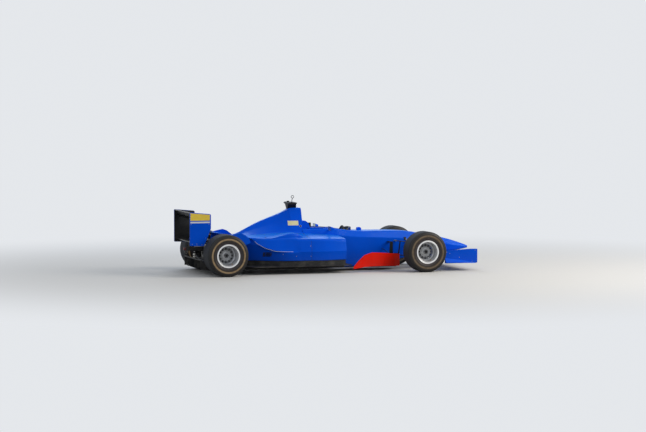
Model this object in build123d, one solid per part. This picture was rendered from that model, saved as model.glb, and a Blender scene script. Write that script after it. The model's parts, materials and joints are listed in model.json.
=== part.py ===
"""An open wheel racing car with slick tyres, as separate named pieces that fit together.

Millimetres. +X is forward, +Y is the car's left, +Z is up. Every piece is modelled with the rear
axle at X = 0 and the ground at Z = 0, and is moved at the end so that the origin is the middle of
the car's box on the ground.
"""

from build123d import *
import math
import os

# Overall sizes
WHEELBASE = 3100
REAR_OVERHANG = 490
FRONT_OVERHANG = 950
OVERALL_WIDTH = 1800
SHIFT_X = (REAR_OVERHANG - WHEELBASE - FRONT_OVERHANG) / 2

# Wheels
REAR_TYRE_RADIUS = 310
REAR_TYRE_WIDTH = 365
FRONT_TYRE_RADIUS = 306
FRONT_TYRE_WIDTH = 305
BEAD_RADIUS = 165
FLANGE_RADIUS = 177
FLANGE_OVERHANG = 9
WELL_RADIUS = 148
TYRE_WALL = 12
BEAD_INSET = 18
REAR_DISH = 160
FRONT_DISH = 118
SPOKES = 12
HUB_RADIUS = 52
NUT_RADIUS = 32
SPINDLE_RADIUS = 22
RUNNING_FIT = 0.05
NUT_SEAT = 12
SPINDLE_GAP = 3
BRAKE_RADIUS = 120
BRAKE_THICKNESS = 28
REAR_WHEEL_Y = OVERALL_WIDTH / 2 - REAR_TYRE_WIDTH / 2
FRONT_WHEEL_Y = OVERALL_WIDTH / 2 - FRONT_TYRE_WIDTH / 2

# Steering and front suspension
KINGPIN_Y = 640
BALL_RISE = 112
STEER_ARM = 100
TRACK_ROD_Z = 370
TRACK_ROD_RADIUS = 8
TRACK_ROD_EYE = 17
STEER_PIN_RADIUS = 4
BALL_PIN_RADIUS = 10
RACK_HOUSING_RADIUS = 32

# Bodywork
SKIN = 7
TUB_WALL = 20
TUB_HALF_WIDTH = 250
TUB_BOTTOM = 65
STEP_Z = 125
KERB_TOP = 200
WING_HALF_SPAN_FRONT = 700
WING_HALF_SPAN_REAR = 500

PIECES = {}


def yz_face(x, rows):
    """A face across the car at x, from (y, z, corner radius) rows round the loop."""
    plane = Plane(origin=(x, 0, 0), x_dir=(0, 1, 0), z_dir=(1, 0, 0))
    wire = FilletPolyline(*[(y, z) for y, z, r in rows], radius=[r for y, z, r in rows], close=True)
    return plane * make_face(wire)


def both_sides(rows):
    """A half loop of (y, z, corner radius) rows from the bottom up, closed through its mirror."""
    return rows + [(-y, z, r) for y, z, r in reversed(rows)]


def inset_face(face, depth):
    """The same face drawn in by a wall's thickness."""
    return offset(face, -depth, kind=Kind.INTERSECTION)


def skinned(stations, depth):
    """The outer and inner lofts through the same stations of (x, rows)."""
    outer = [yz_face(x, rows) for x, rows in stations]
    inner = [inset_face(face, depth) for face in outer]
    return loft(outer), loft(inner)


def side_prism(points, y0, y1, radii=None):
    """An outline of (x, z) points swept from y0 to y1."""
    plane = Plane(origin=(0, y1, 0), x_dir=(1, 0, 0), z_dir=(0, -1, 0))
    if radii is None:
        wire = Polyline(*points, close=True)
    else:
        wire = FilletPolyline(*points, radius=radii, close=True)
    return extrude(plane * make_face(wire), amount=y1 - y0)


def plan_prism(points, z0, z1, radii=None):
    """An outline of (x, y) points swept from z0 to z1."""
    if radii is None:
        wire = Polyline(*points, close=True)
    else:
        wire = FilletPolyline(*points, radius=radii, close=True)
    return extrude(Plane(origin=(0, 0, z0)) * make_face(wire), amount=z1 - z0)


def block(x0, x1, y0, y1, z0, z1):
    """A plain box between two corners."""
    return Pos(x0, y0, z0) * Box(x1 - x0, y1 - y0, z1 - z0, align=(Align.MIN, Align.MIN, Align.MIN))


def rod(start, end, radius):
    """A round bar between two points."""
    start, end = Vector(*start), Vector(*end)
    run = end - start
    bar = Cylinder(radius, run.length, align=(Align.CENTER, Align.CENTER, Align.MIN))
    return Plane(origin=start, z_dir=run.normalized()) * bar


def blade(start, end, chord, thickness):
    """A flattened bar with eight sides between two points, its long way fore and aft."""
    start, end = Vector(*start), Vector(*end)
    run = end - start
    along = run.normalized()
    flat = (Vector(1, 0, 0) - along * along.X).normalized()
    plane = Plane(origin=start, x_dir=flat, z_dir=along)
    half, side = chord / 2, thickness / 2
    outline = [(half, 0), (half * 0.6, side * 0.8), (0, side), (-half * 0.6, side * 0.8),
               (-half, 0), (-half * 0.6, -side * 0.8), (0, -side), (half * 0.6, -side * 0.8)]
    return extrude(plane * make_face(Polyline(*outline, close=True)), amount=run.length)


def turned(points, radii=None):
    """A ring about the Y axis from (radius, y) points."""
    if radii is None:
        wire = Polyline(*points, close=True)
    else:
        wire = FilletPolyline(*points, radius=radii, close=True)
    return revolve(make_face(wire), axis=Axis.Y)


def mirrored(shape):
    """The same piece on the other side of the car."""
    return mirror(shape, about=Plane.XZ)


def pair(shape):
    """A piece and its mirror image."""
    return shape + mirrored(shape)


def tyre(radius, width):
    """A slick tyre about the Y axis, hollow, standing on the rim's bead seats."""
    half = width / 2
    bead = half - BEAD_INSET
    points = [
        (BEAD_RADIUS, -bead), (FLANGE_RADIUS + 3, -bead), (208, -half), (radius, -half),
        (radius, half), (208, half), (FLANGE_RADIUS + 3, bead), (BEAD_RADIUS, bead),
        (BEAD_RADIUS, bead - 16), (208, half - TYRE_WALL), (radius - TYRE_WALL, half - TYRE_WALL),
        (radius - TYRE_WALL, -half + TYRE_WALL), (208, -half + TYRE_WALL), (BEAD_RADIUS, -bead + 16),
    ]
    radii = [0, 0, 24, 46, 46, 24, 0, 0, 0, 0, 0, 0, 0, 0]
    return turned(points, radii)


def disc_plane(width, dish):
    """How far a wheel's disc lies outboard of the wheel's middle."""
    return width / 2 - BEAD_INSET + FLANGE_OVERHANG - dish


def rim(width, dish, hub_back):
    """A rim about the Y axis: stepped barrel, flanges, disc cut into spokes, hub with its bore, the nut."""
    bead = width / 2 - BEAD_INSET
    face = bead + FLANGE_OVERHANG
    disc = disc_plane(width, dish)
    back = disc - 10
    ring = turned([
        (BEAD_RADIUS, -bead), (FLANGE_RADIUS, -bead), (FLANGE_RADIUS, -face), (BEAD_RADIUS - 7, -face),
        (BEAD_RADIUS - 7, 22 - bead), (WELL_RADIUS - 7, 44 - bead), (WELL_RADIUS - 7, back),
        (104, back), (HUB_RADIUS, disc - 26), (HUB_RADIUS, hub_back),
        (SPINDLE_RADIUS + RUNNING_FIT, hub_back), (SPINDLE_RADIUS + RUNNING_FIT, disc + NUT_SEAT),
        (0, disc + NUT_SEAT), (0, disc + 20), (19, disc + 20),
        (19, disc + 36), (NUT_RADIUS - 3, disc + 36), (NUT_RADIUS, disc + 32), (NUT_RADIUS, disc + 14),
        (62, disc + 6), (70, disc - 4), (118, disc), (132, disc + 10), (WELL_RADIUS - 6, face - 60),
        (BEAD_RADIUS - 14, face - 12), (BEAD_RADIUS - 11, face), (FLANGE_RADIUS, face),
        (FLANGE_RADIUS, bead), (BEAD_RADIUS, bead), (BEAD_RADIUS, bead - 24), (WELL_RADIUS, bead - 44),
        (WELL_RADIUS, 44 - bead),
        (BEAD_RADIUS, 24 - bead),
    ])
    window = side_prism([(78, -7), (78, 7), (114, 16), (114, -16)], disc - 30, disc + 12, [4, 4, 9, 9])
    for place in range(SPOKES):
        ring -= Rot(0, place * 360 / SPOKES, 0) * window
    return ring


# Tub, hollow, with the cockpit's opening in its top
TUB_REAR = 1060
TUB_FRONT = 3260
tub_rear = [
    (TUB_REAR, [(TUB_HALF_WIDTH, TUB_BOTTOM, 22), (TUB_HALF_WIDTH, 560, 30), (205, 640, 40)]),
    (1868, [(TUB_HALF_WIDTH, TUB_BOTTOM, 22), (TUB_HALF_WIDTH, 545, 30), (205, 648, 40)]),
]
tub_front = [
    (1868, [(TUB_HALF_WIDTH, TUB_BOTTOM, 22), (TUB_HALF_WIDTH, 545, 30), (205, 648, 40)]),
    (2375, [(226, 82, 24), (232, 505, 34), (180, 598, 40)]),
    (2850, [(180, 150, 30), (192, 480, 34), (148, 592, 40)]),
    (TUB_FRONT, [(142, 222, 34), (158, 430, 34), (118, 540, 40)]),
]
tub_rear = [(x, both_sides(rows)) for x, rows in tub_rear]
tub_front = [(x, both_sides(rows)) for x, rows in tub_front]
rear_outer, rear_inner = skinned(tub_rear, TUB_WALL)
front_outer, front_inner = skinned(tub_front, TUB_WALL)
tub_outer = rear_outer + front_outer
tub_inner = rear_inner + front_inner
tub_inner &= block(TUB_REAR + 60, TUB_FRONT - TUB_WALL, -400, 400, 0, 900)
# The engine cover closes over the tub's lower rear end
cockpit_outline = [
    (1470, -178), (1470, 178), (1740, 186), (2060, 150), (2124, 60), (2124, -60), (2060, -150), (1740, -186),
]
cockpit = plan_prism(cockpit_outline, 300, 800, [60, 60, 80, 60, 40, 40, 60, 80])
seat_wall = block(TUB_REAR, 1360, -400, 400, 0, 900)
monocoque = tub_outer - (tub_inner - seat_wall) - cockpit
# A small faired pod stands on the tub ahead of the cockpit
fairing_side = [(2246, 560), (2258, 644), (2296, 650), (2320, 638), (2334, 560)]
fairing = side_prism(fairing_side, -24, 24, [0, 14, 14, 10, 0])
monocoque += fairing - tub_inner
rack_x = WHEELBASE - STEER_ARM
monocoque -= block(rack_x - 22, rack_x + 22, -300, 300, TRACK_ROD_Z - 20, TRACK_ROD_Z + 20)
COVER_FRONT = 1340
monocoque -= block(TUB_REAR - 1, COVER_FRONT, -300, 300, 560, 700)

# Nose cone, open at the back where it meets the tub
nose_rows = [
    (TUB_FRONT, [(142, 222, 34), (158, 430, 34), (118, 540, 40)]),
    (3600, [(104, 252, 30), (118, 382, 30), (86, 475, 34)]),
    (3920, [(62, 278, 24), (72, 330, 22), (50, 382, 24)]),
    (WHEELBASE + FRONT_OVERHANG, [(26, 300, 9), (30, 318, 7), (24, 334, 9)]),
]
nose_rows = [(x, both_sides(rows)) for x, rows in nose_rows]
nose_outer = loft([yz_face(x, rows) for x, rows in nose_rows])
nose_inner = loft([inset_face(yz_face(x, rows), SKIN) for x, rows in nose_rows[:3]])
PIECES["nose_cone"] = nose_outer - nose_inner

# Bodywork over the engine and the sidepods, one skin cut into three panels
POD_FRONT = 1892
BODY_REAR = 250
CREASE_X = 1168
AIRBOX_LIP = 792
# Half sections of the upper bodywork: lower edge, widest line, shoulder, foot, side and top of the spine
body_rows = [
    (BODY_REAR, [(296, 290, 10), (318, 490, 10), (296, 540, 20), (150, 540, 30), (56, 546, 20), (18, 560, 8)]),
    (420, [(440, 290, 10), (474, 470, 10), (450, 552, 30), (190, 560, 50), (60, 588, 30), (18, 622, 9)]),
    (580, [(556, 290, 10), (588, 424, 10), (538, 540, 50), (205, 574, 60), (66, 642, 40), (20, 704, 11)]),
    (856, [(650, 290, 10), (676, 344, 10), (612, 538, 60), (208, 592, 60), (88, 716, 160), (30, 820, 18)]),
    (CREASE_X, [(684, 290, 10), (694, 336, 10), (640, 528, 60), (212, 592, 60), (138, 800, 200), (60, 962, 30)]),
]
front_rows = [
    body_rows[-1],
    (COVER_FRONT, [(686, 290, 10), (696, 336, 10), (648, 524, 60), (214, 584, 60), (155, 790, 200), (92, 962, 44)]),
]
body_rows = [(x, both_sides(rows)) for x, rows in body_rows]
front_rows = [(x, both_sides(rows)) for x, rows in front_rows]
aft_outer, aft_inner = skinned(body_rows, SKIN)
fore_outer, fore_inner = skinned(front_rows, SKIN)
front_wall = block(COVER_FRONT - 8, COVER_FRONT, -TUB_HALF_WIDTH, TUB_HALF_WIDTH, 0, AIRBOX_LIP)
body_skin = (aft_outer - aft_inner) + (fore_outer - (fore_inner - front_wall))
centre_slab = block(0, COVER_FRONT, -TUB_HALF_WIDTH, TUB_HALF_WIDTH, 0, 1200)
engine_cover = body_skin & centre_slab
engine_cover -= block(0, COVER_FRONT, -TUB_HALF_WIDTH, TUB_HALF_WIDTH, 0, 470)
engine_cover -= block(COVER_FRONT - 20, COVER_FRONT, -300, 300, 0, 560)
PIECES["engine_cover"] = engine_cover

# The swept line where the upper bodywork ends over the waisted lower sides
SEAM_Z = 336
sweep = [
    (200, 606), (368, 566), (470, 524), (532, 457), (629, 396), (774, 350), (920, 340),
    (CREASE_X, SEAM_Z), (POD_FRONT + 10, SEAM_Z),
]
above_seam = side_prism(sweep + [(POD_FRONT + 10, 1100), (200, 1100)], 0, 900)
tuck = [
    (368, 590), (470, 548), (532, 481), (629, 420), (774, 374), (920, 360), (980, 337.5),
    (CREASE_X, SEAM_Z), (POD_FRONT + 10, SEAM_Z),
]
below_seam = side_prism([(200, 0), (200, 560), (300, 560)] + tuck + [(POD_FRONT + 10, 0)], 0, 900)

# Front half of a sidepod, open at its inlet
pod_rows = [
    (COVER_FRONT, [(214, KERB_TOP, 5), (676, KERB_TOP, 14), (696, SEAM_Z, 10), (648, 524, 60), (214, 584, 5)]),
    (1620, [(214, KERB_TOP, 5), (684, KERB_TOP, 14), (700, SEAM_Z, 12), (652, 520, 60), (214, 570, 5)]),
    (POD_FRONT, [(214, KERB_TOP, 5), (632, KERB_TOP, 24), (655, SEAM_Z, 24), (622, 514, 60), (214, 543, 5)]),
]
pod_outer = loft([yz_face(x, rows) for x, rows in pod_rows])
pod_inner = loft([inset_face(yz_face(x, rows), SKIN) for x, rows in pod_rows])
pod_shell = pod_outer - pod_inner - tub_outer
side_slab = block(0, COVER_FRONT, TUB_HALF_WIDTH, 900, 0, 900)
pod_skin = (pod_shell + (body_skin & side_slab)) & above_seam

# Waisted lower side of the sidepod, drawn in behind the swept edge
lower_rows = [
    (BODY_REAR, [(200, KERB_TOP, 5), (236, KERB_TOP, 14), (262, 400, 20), (250, 520, 14), (200, 525, 5)]),
    (580, [(200, KERB_TOP, 5), (440, KERB_TOP, 14), (524, 424, 20), (500, 516, 14), (200, 540, 5)]),
    (856, [(200, KERB_TOP, 5), (600, KERB_TOP, 14), (650, 344, 20), (600, 518, 14), (200, 560, 5)]),
    (CREASE_X, [(200, KERB_TOP, 5), (668, KERB_TOP, 14), (694, 336, 10), (640, 528, 14), (200, 580, 5)]),
]
link_rows = [
    lower_rows[-1],
    (COVER_FRONT, [(200, KERB_TOP, 5), (676, KERB_TOP, 14), (696, SEAM_Z, 10), (648, 524, 14), (200, 584, 5)]),
]
lower_outer, lower_inner = skinned(lower_rows, SKIN)
link_outer, link_inner = skinned(link_rows, SKIN)
lower_skin = ((lower_outer - lower_inner) + (link_outer - link_inner)) & side_slab
lower_skin = (lower_skin + pod_shell) & below_seam
LOUVRE_PITCH = 22
for step in range(3):
    height = 268 + LOUVRE_PITCH * step
    lower_skin -= side_prism([(664, height), (740, height), (736, height + 10), (660, height + 10)], 400, 700)

# Teardrop over each exhaust, with the outlet in its rear face
blister_rows = [
    (1226, [(470, 520, 4), (530, 520, 4), (530, 556, 4), (470, 556, 4)]),
    (1136, [(435, 520, 20), (575, 520, 20), (566, 600, 34), (440, 608, 30)]),
    (956, [(420, 500, 20), (612, 500, 20), (590, 590, 34), (435, 608, 30)]),
    (676, [(430, 470, 10), (590, 470, 10), (560, 540, 16), (440, 562, 16)]),
]
blister_outer = loft([yz_face(x, rows) for x, rows in blister_rows])
blister_inner = loft([inset_face(yz_face(x, rows), 3) for x, rows in blister_rows])
pod_core = loft([yz_face(x, rows) for x, rows in body_rows[1:]])
outlet = block(626, 950, 440, 600, 500, 640)
pod_skin += blister_outer - pod_core - blister_inner
pod_skin -= blister_inner & outlet
pod_skin = max(pod_skin.solids(), key=lambda solid: solid.volume)
PIECES["sidepod_left"] = pod_skin
PIECES["sidepod_right"] = mirrored(pod_skin)
PIECES["sidepod_lower_left"] = lower_skin
PIECES["sidepod_lower_right"] = mirrored(lower_skin)

# Floor: a plate under the tub, a step up to the plates under the pods, and a kerb that the pods stand on
FLOOR_REAR = 330
FLOOR_THICK = 12
kerb_outline = [
    (FLOOR_REAR, 284), (544, 416), (857, 597), (CREASE_X, 664), (COVER_FRONT, 672), (1620, 678),
    (POD_FRONT - 4, 624),
]
kerb_inner = [(x, y - 14) for x, y in kerb_outline]
floor = block(FLOOR_REAR, 2900, -TUB_HALF_WIDTH, TUB_HALF_WIDTH, TUB_BOTTOM - FLOOR_THICK, TUB_BOTTOM)
floor &= plan_prism([(300, -300), (300, 300), (2350, 300), (2890, 150), (2890, -150), (2350, -300)], 0, 200)
side_plan = [
    (FLOOR_REAR, TUB_HALF_WIDTH), (FLOOR_REAR, 500), (430, 690), (1720, 700), (1984, 640),
    (1984, TUB_HALF_WIDTH),
]
side_floor = plan_prism(side_plan, STEP_Z - FLOOR_THICK, STEP_Z)
side_floor += block(FLOOR_REAR, 1984, TUB_HALF_WIDTH, TUB_HALF_WIDTH + 6, TUB_BOTTOM - FLOOR_THICK, STEP_Z)
side_floor += plan_prism(kerb_outline + kerb_inner[::-1], STEP_Z, KERB_TOP)
PIECES["floor"] = floor + side_floor + mirrored(side_floor) - tub_outer
PIECES["skid_plank"] = block(380, 2850, -150, 150, TUB_BOTTOM - FLOOR_THICK - 10, TUB_BOTTOM - FLOOR_THICK)

# Diffuser: a rising roof with side plates and four fences
DIFFUSER_END = -330
roof = [(FLOOR_REAR, 53), (FLOOR_REAR, 65), (60, 90), (DIFFUSER_END, 232), (DIFFUSER_END, 220), (60, 78)]
diffuser = side_prism(roof, -490, 490)
fence = [(FLOOR_REAR, 53), (60, 84), (DIFFUSER_END, 226), (DIFFUSER_END, 90), (60, 56)]
for y in (-490, -300, -120, 114, 294, 484):
    diffuser += side_prism(fence, y, y + 6)
PIECES["diffuser"] = diffuser

# Engine and gearbox behind the tub
engine = block(400, TUB_REAR, -200, 200, 78, 440)
PIECES["engine_block"] = engine
gearbox_rows = [
    (400, [(150, 100, 20), (160, 400, 40)]),
    (60, [(95, 130, 20), (100, 430, 40)]),
    (-170, [(75, 215, 20), (80, 420, 40)]),
]
gearbox = loft([yz_face(x, both_sides(rows)) for x, rows in gearbox_rows])
starter = rod((-180, 0, 300), (-110, 0, 300), 16)
gearbox -= starter
output_hole = rod((0, -200, REAR_TYRE_RADIUS), (0, 200, REAR_TYRE_RADIUS), SPINDLE_RADIUS + RUNNING_FIT)
gearbox -= output_hole
for y0, y1 in ((30, 92), (-92, -30)):
    gearbox += block(126, 174, y0, y1, 400, 486)
PIECES["gearbox"] = gearbox
crash_rows = [
    (-170, [(60, 330, 12), (60, 410, 12)]),
    (-440, [(38, 344, 10), (38, 394, 10)]),
]
crash = loft([yz_face(x, both_sides(rows)) for x, rows in crash_rows])
PIECES["crash_structure"] = crash
PIECES["rain_light"] = block(-458, -440, -30, 30, 348, 390)

# Rear wing
wing_plate = [(-490, 446), (-275, 440), (-168, 694), (-168, 912), (-490, 940)]
plate = side_prism(wing_plate, WING_HALF_SPAN_REAR - 8, WING_HALF_SPAN_REAR, [14, 14, 30, 24, 14])
PIECES["rear_wing_endplates"] = pair(plate)
inside = WING_HALF_SPAN_REAR - 8
main_plane = [(-182, 806), (-190, 828), (-270, 822), (-368, 846), (-372, 840), (-280, 798), (-215, 792)]
flap = [(-352, 856), (-350, 870), (-400, 882), (-472, 932), (-477, 927), (-420, 862), (-372, 846)]
wing = side_prism(main_plane, -inside, inside, [8, 8, 60, 0, 0, 60, 14])
wing += side_prism(flap, -inside, inside, [5, 5, 40, 0, 0, 40, 6])
PIECES["rear_wing_elements"] = wing
beam = side_prism([(-275, 462), (-281, 478), (-350, 474), (-440, 496), (-442, 490), (-360, 454), (-305, 452)],
                  -inside, inside, [6, 6, 40, 0, 0, 40, 8])
hangers = block(-380, -310, -34, -28, 380, 470) + block(-380, -310, 28, 34, 380, 470)
PIECES["rear_wing_beam"] = beam + (hangers - crash)

# Winglets that flip up from the bodywork ahead of the rear wheels
fin_side = [(70, 440), (95, 585), (170, 606), (270, 626), (335, 604), (415, 545), (440, 470), (300, 420)]
fin = side_prism(fin_side, 500, 506, [10, 20, 30, 60, 40, 20, 10, 20])
blade_rows = [(346, 500), (352, 512), (214, 570), (80, 590), (76, 584), (210, 560)]
winglet = side_prism(blade_rows, 250, 502) + fin
PIECES["winglets"] = pair((winglet - aft_outer).solids().sort_by(SortBy.VOLUME)[-1])

# Front wing
SPAN = WING_HALF_SPAN_FRONT
front_plate = [(3440, 116), (3966, 116), (3966, 328), (3840, 330), (3440, 306)]
end_plate = side_prism(front_plate, SPAN - 8, SPAN, [8, 12, 14, 30, 14])
foot_rows = [(3440, 196, 130), (3660, 168, 126), (3910, 124, 120)]
foot = loft([
    Plane(origin=(x, 0, 0), x_dir=(0, 1, 0), z_dir=(1, 0, 0)) * make_face(Polyline(
        (SPAN, high), (SPAN + 62, low), (SPAN + 62, low - 4), (SPAN, high - 6), close=True))
    for x, high, low in foot_rows], ruled=True)
PIECES["front_wing_endplates"] = pair(end_plate + foot)
inner_span = SPAN - 8
main = side_prism([(3946, 128), (3941, 142), (3861, 152), (3691, 168), (3689, 162), (3841, 124), (3921, 118)],
                  -inner_span, inner_span, [6, 6, 50, 0, 0, 50, 8])
flap_side = [(3709, 184), (3703, 194), (3638, 220), (3482, 290), (3478, 285), (3628, 204), (3691, 178)]
front_flap = side_prism(flap_side,
                        -inner_span, inner_span, [5, 5, 60, 0, 0, 60, 6])
front_flap -= block(3400, 3740, -150, 150, 0, 400)
PIECES["front_wing_main_plane"] = main
PIECES["front_wing_flaps"] = front_flap
pylon = side_prism([(3921, 326), (3911, 130), (3731, 140), (3690, 326)], 40, 50) - nose_outer - main
PIECES["front_wing_pylons"] = pair(max(pylon.solids(), key=lambda solid: solid.volume))

# Bargeboards and the vanes between them and the tub
board_rows = [
    (2013, 622, 54, 90), (2100, 614, 66, 183), (2189, 605, 80, 260), (2318, 590, 88, 299),
    (2510, 550, 86, 286), (2689, 492, 80, 268), (2806, 428, 76, 258),
]
board = loft([
    Plane(origin=(x, 0, 0), x_dir=(0, 1, 0), z_dir=(1, 0, 0)) * make_face(Polyline(
        (y, low), (y, high), (y - 7, high), (y - 7, low), close=True))
    for x, y, low, high in board_rows], ruled=True)
PIECES["bargeboards"] = pair(board)
vane = side_prism([(2668, 254), (2726, 254), (2726, 442), (2678, 442)], 346, 353)
vane += side_prism([(2806, 254), (2826, 254), (2852, 442), (2834, 442)], 346, 353)
vane += block(2668, 2826, 346, 353, 254, 264)
vane += block(2668, 2726, 346, 520, 254, 264) - board
vane += block(2680, 2722, 100, 350, 424, 436) - tub_outer
PIECES["turning_vanes"] = pair(max(vane.solids(), key=lambda solid: solid.volume))

# Cockpit fittings
rest_side = [(COVER_FRONT, 600), (COVER_FRONT, 768), (1396, 768), (1446, 730), (1468, 660), (1468, 600)]
rest_block = side_prism(rest_side,
                        -150, 150, [0, 0, 24, 30, 20, 0])
helmet_room = Pos(1590, 0, 700) * Cylinder(165, 400)
arm_side = [(1440, 640), (1476, 640), (1476, 610), (1800, 610), (1800, 652), (1560, 668), (1440, 668)]
arms = side_prism(arm_side, 148, 176)
PIECES["headrest"] = (rest_block - tub_outer - helmet_room) + pair(arms - monocoque)
seat_side = [
    (1360, 100), (1360, 560), (1422, 560), (1530, 190), (1860, 150), (2020, 240), (2028, 220), (1880, 110),
    (1500, 110),
]
PIECES["seat"] = side_prism(seat_side, -150, 150) & tub_inner & block(1360, 2200, -200, 200, 0, 900)
screen_outer = [(2040, -168), (2068, -166), (2140, -72), (2152, 0), (2140, 72), (2068, 166), (2040, 168)]
screen_inner = [(x - 5, y * 0.96) for x, y in screen_outer]
screen = plan_prism(screen_outer + screen_inner[::-1], 560, 700)
screen &= side_prism([(2020, 560), (2020, 632), (2128, 660), (2160, 660), (2170, 560)], -200, 200)
PIECES["windscreen"] = screen - tub_outer
mirror_shell = loft([
    Plane(origin=(1702, 400, 657), x_dir=(0, 1, 0), z_dir=(1, 0, 0)) * RectangleRounded(132, 68, 18),
    Plane(origin=(1754, 400, 657), x_dir=(0, 1, 0), z_dir=(1, 0, 0)) * RectangleRounded(90, 34, 12),
])
mirror_shell += blade((1752, 170, 620), (1732, 390, 652), 40, 9)
PIECES["mirrors"] = pair((mirror_shell - tub_outer).solids().sort_by(SortBy.VOLUME)[-1])

# Transverse camera housing on a splayed foot over the airbox, with a loop aerial
camera_foot = loft([
    Plane(origin=(1218, 0, 925)) * RectangleRounded(144, 50, 12),
    Plane(origin=(1204, 0, 1026)) * RectangleRounded(132, 190, 12),
])
camera_wing = side_prism([(1130, 1032), (1142, 1048), (1200, 1052), (1262, 1044), (1272, 1034), (1262, 1022),
                          (1200, 1016), (1142, 1020)], -130, 130)
camera_puck = block(1148, 1180, -12, 12, 1040, 1066)
aerial = rod((1222, 0, 1040), (1233, 0, 1104), 5)
aerial += Pos(1236, 0, 1126) * Rot(90, 0, 0) * Torus(20, 4)
PIECES["camera_pod"] = camera_foot + camera_wing + camera_puck + aerial - fore_outer - aft_outer

# Radiators, leaning in the ducts
core = plan_prism([(1400, 262), (1560, 600), (1600, 600), (1440, 262)], KERB_TOP + SKIN, 500)
PIECES["radiators"] = pair(core)
exhaust = rod((726, 480, 472), (926, 480, 532), 32) - rod((716, 480, 469), (906, 480, 526), 28)
exhaust += rod((916, 480, 528), (916, 190, 420), 20) - engine
PIECES["exhausts"] = pair(max(exhaust.solids(), key=lambda solid: solid.volume))

# Rear uprights, wishbones, pushrods
REAR_BALL_Y = 600
upright = block(-34, 34, REAR_BALL_Y - 40, REAR_BALL_Y + 8, 310 - 112, 310 + 112)
upright += rod((0, REAR_BALL_Y - 50, 310), (0, REAR_BALL_Y + 20, 310), 52)
upright -= rod((0, REAR_BALL_Y - 80, 310), (0, REAR_BALL_Y + 80, 310), SPINDLE_RADIUS + RUNNING_FIT)
PIECES["rear_uprights"] = pair(upright)
rear_arms = Part()
for low_z, z_in, x_aft, x_fore in ((218, 190, -120, 330), (402, 372, -110, 330)):
    for x_in in (x_aft, x_fore):
        rear_arms += blade((0, REAR_BALL_Y - 30, low_z), (x_in, 60, z_in), 36, 14)
rear_arms -= gearbox + upright + engine
PIECES["rear_wishbones"] = pair(rear_arms)
rear_pushrod = blade((80, REAR_BALL_Y - 60, 226), (150, 60, 470), 26, 14)
PIECES["rear_pushrods"] = pair(rear_pushrod - gearbox - rear_arms)

# Front uprights
FRONT_AXLE = WHEELBASE
HUB_Z = FRONT_TYRE_RADIUS
BALL_LOW = HUB_Z - BALL_RISE
BALL_HIGH = HUB_Z + BALL_RISE
knuckle = block(FRONT_AXLE - 26, FRONT_AXLE + 26, KINGPIN_Y - 20, KINGPIN_Y + 26, BALL_LOW, BALL_HIGH)
spindle_end = FRONT_WHEEL_Y + disc_plane(FRONT_TYRE_WIDTH, FRONT_DISH) + NUT_SEAT - SPINDLE_GAP
knuckle += rod((FRONT_AXLE, KINGPIN_Y + 10, HUB_Z), (FRONT_AXLE, spindle_end, HUB_Z), SPINDLE_RADIUS)
knuckle += block(rack_x - 12, FRONT_AXLE, KINGPIN_Y - 10, KINGPIN_Y + 10, TRACK_ROD_Z - 8, TRACK_ROD_Z)
knuckle += rod((rack_x, KINGPIN_Y, TRACK_ROD_Z - 2), (rack_x, KINGPIN_Y, TRACK_ROD_Z + 24), STEER_PIN_RADIUS)
for height in (BALL_LOW, BALL_HIGH):
    pin_line = (FRONT_AXLE, KINGPIN_Y, height - 30), (FRONT_AXLE, KINGPIN_Y, height + 30)
    knuckle -= rod(*pin_line, BALL_PIN_RADIUS + RUNNING_FIT)
    knuckle -= block(FRONT_AXLE - 60, FRONT_AXLE + 60, KINGPIN_Y - 60, KINGPIN_Y + 22, height - 15, height + 15)
PIECES["front_upright_left"] = knuckle
PIECES["front_upright_right"] = mirrored(knuckle)
front_arms = Part()
inboard_of_ball = block(FRONT_AXLE - 400, FRONT_AXLE + 200, -KINGPIN_Y, KINGPIN_Y - 3, 0, 600)
for height, z_in, aft, fore in ((BALL_LOW, 235, 2800, 3230), (BALL_HIGH, 450, 2740, 3230)):
    boss = Pos(FRONT_AXLE, KINGPIN_Y, height) * Cylinder(17, 18)
    pin = Pos(FRONT_AXLE, KINGPIN_Y, height) * Cylinder(BALL_PIN_RADIUS, 46)
    legs = Part()
    for x_in in (aft, fore):
        legs += blade((FRONT_AXLE, KINGPIN_Y - 4, height), (x_in, 90, z_in), 30, 13)
    front_arms += (legs & inboard_of_ball) + boss + pin
front_arms -= tub_outer
PIECES["front_wishbones"] = pair(front_arms)
PIECES["front_pushrods"] = pair(blade((3096, 560, 222), (2976, 100, 505), 24, 13) - tub_outer - front_arms)

# Steering: wheel and column, rack with its track rods, and what carries them in the tub
COLUMN_TOP = (2010, 0, 559)
COLUMN_END = (3030, 0, 410)
COLUMN_RADIUS = 11
column = rod(COLUMN_TOP, COLUMN_END, COLUMN_RADIUS)
toward_driver = (Vector(*COLUMN_TOP) - Vector(*COLUMN_END)).normalized()
wheel_plane = Plane(origin=COLUMN_TOP, z_dir=toward_driver)
steering_wheel = wheel_plane * (Torus(112, 12) + Cylinder(26, 26) + Box(30, 220, 10))
PIECES["steering_wheel"] = steering_wheel + column
RACK_Z = TRACK_ROD_Z + 12
rack = rod((rack_x, 14 - KINGPIN_Y, RACK_Z), (rack_x, KINGPIN_Y - 14, RACK_Z), TRACK_ROD_RADIUS)
for side in (-1, 1):
    eye = Pos(rack_x, side * KINGPIN_Y, RACK_Z) * Cylinder(TRACK_ROD_EYE, 12)
    hole = Pos(rack_x, side * KINGPIN_Y, RACK_Z) * Cylinder(11, 40)
    rack += eye
    rack -= hole
PIECES["steering_rack"] = rack
rack_line = (rack_x, -300, RACK_Z), (rack_x, 300, RACK_Z)
housing = rod(*rack_line, RACK_HOUSING_RADIUS) & tub_inner
housing -= rod(*rack_line, TRACK_ROD_RADIUS + RUNNING_FIT)
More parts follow.
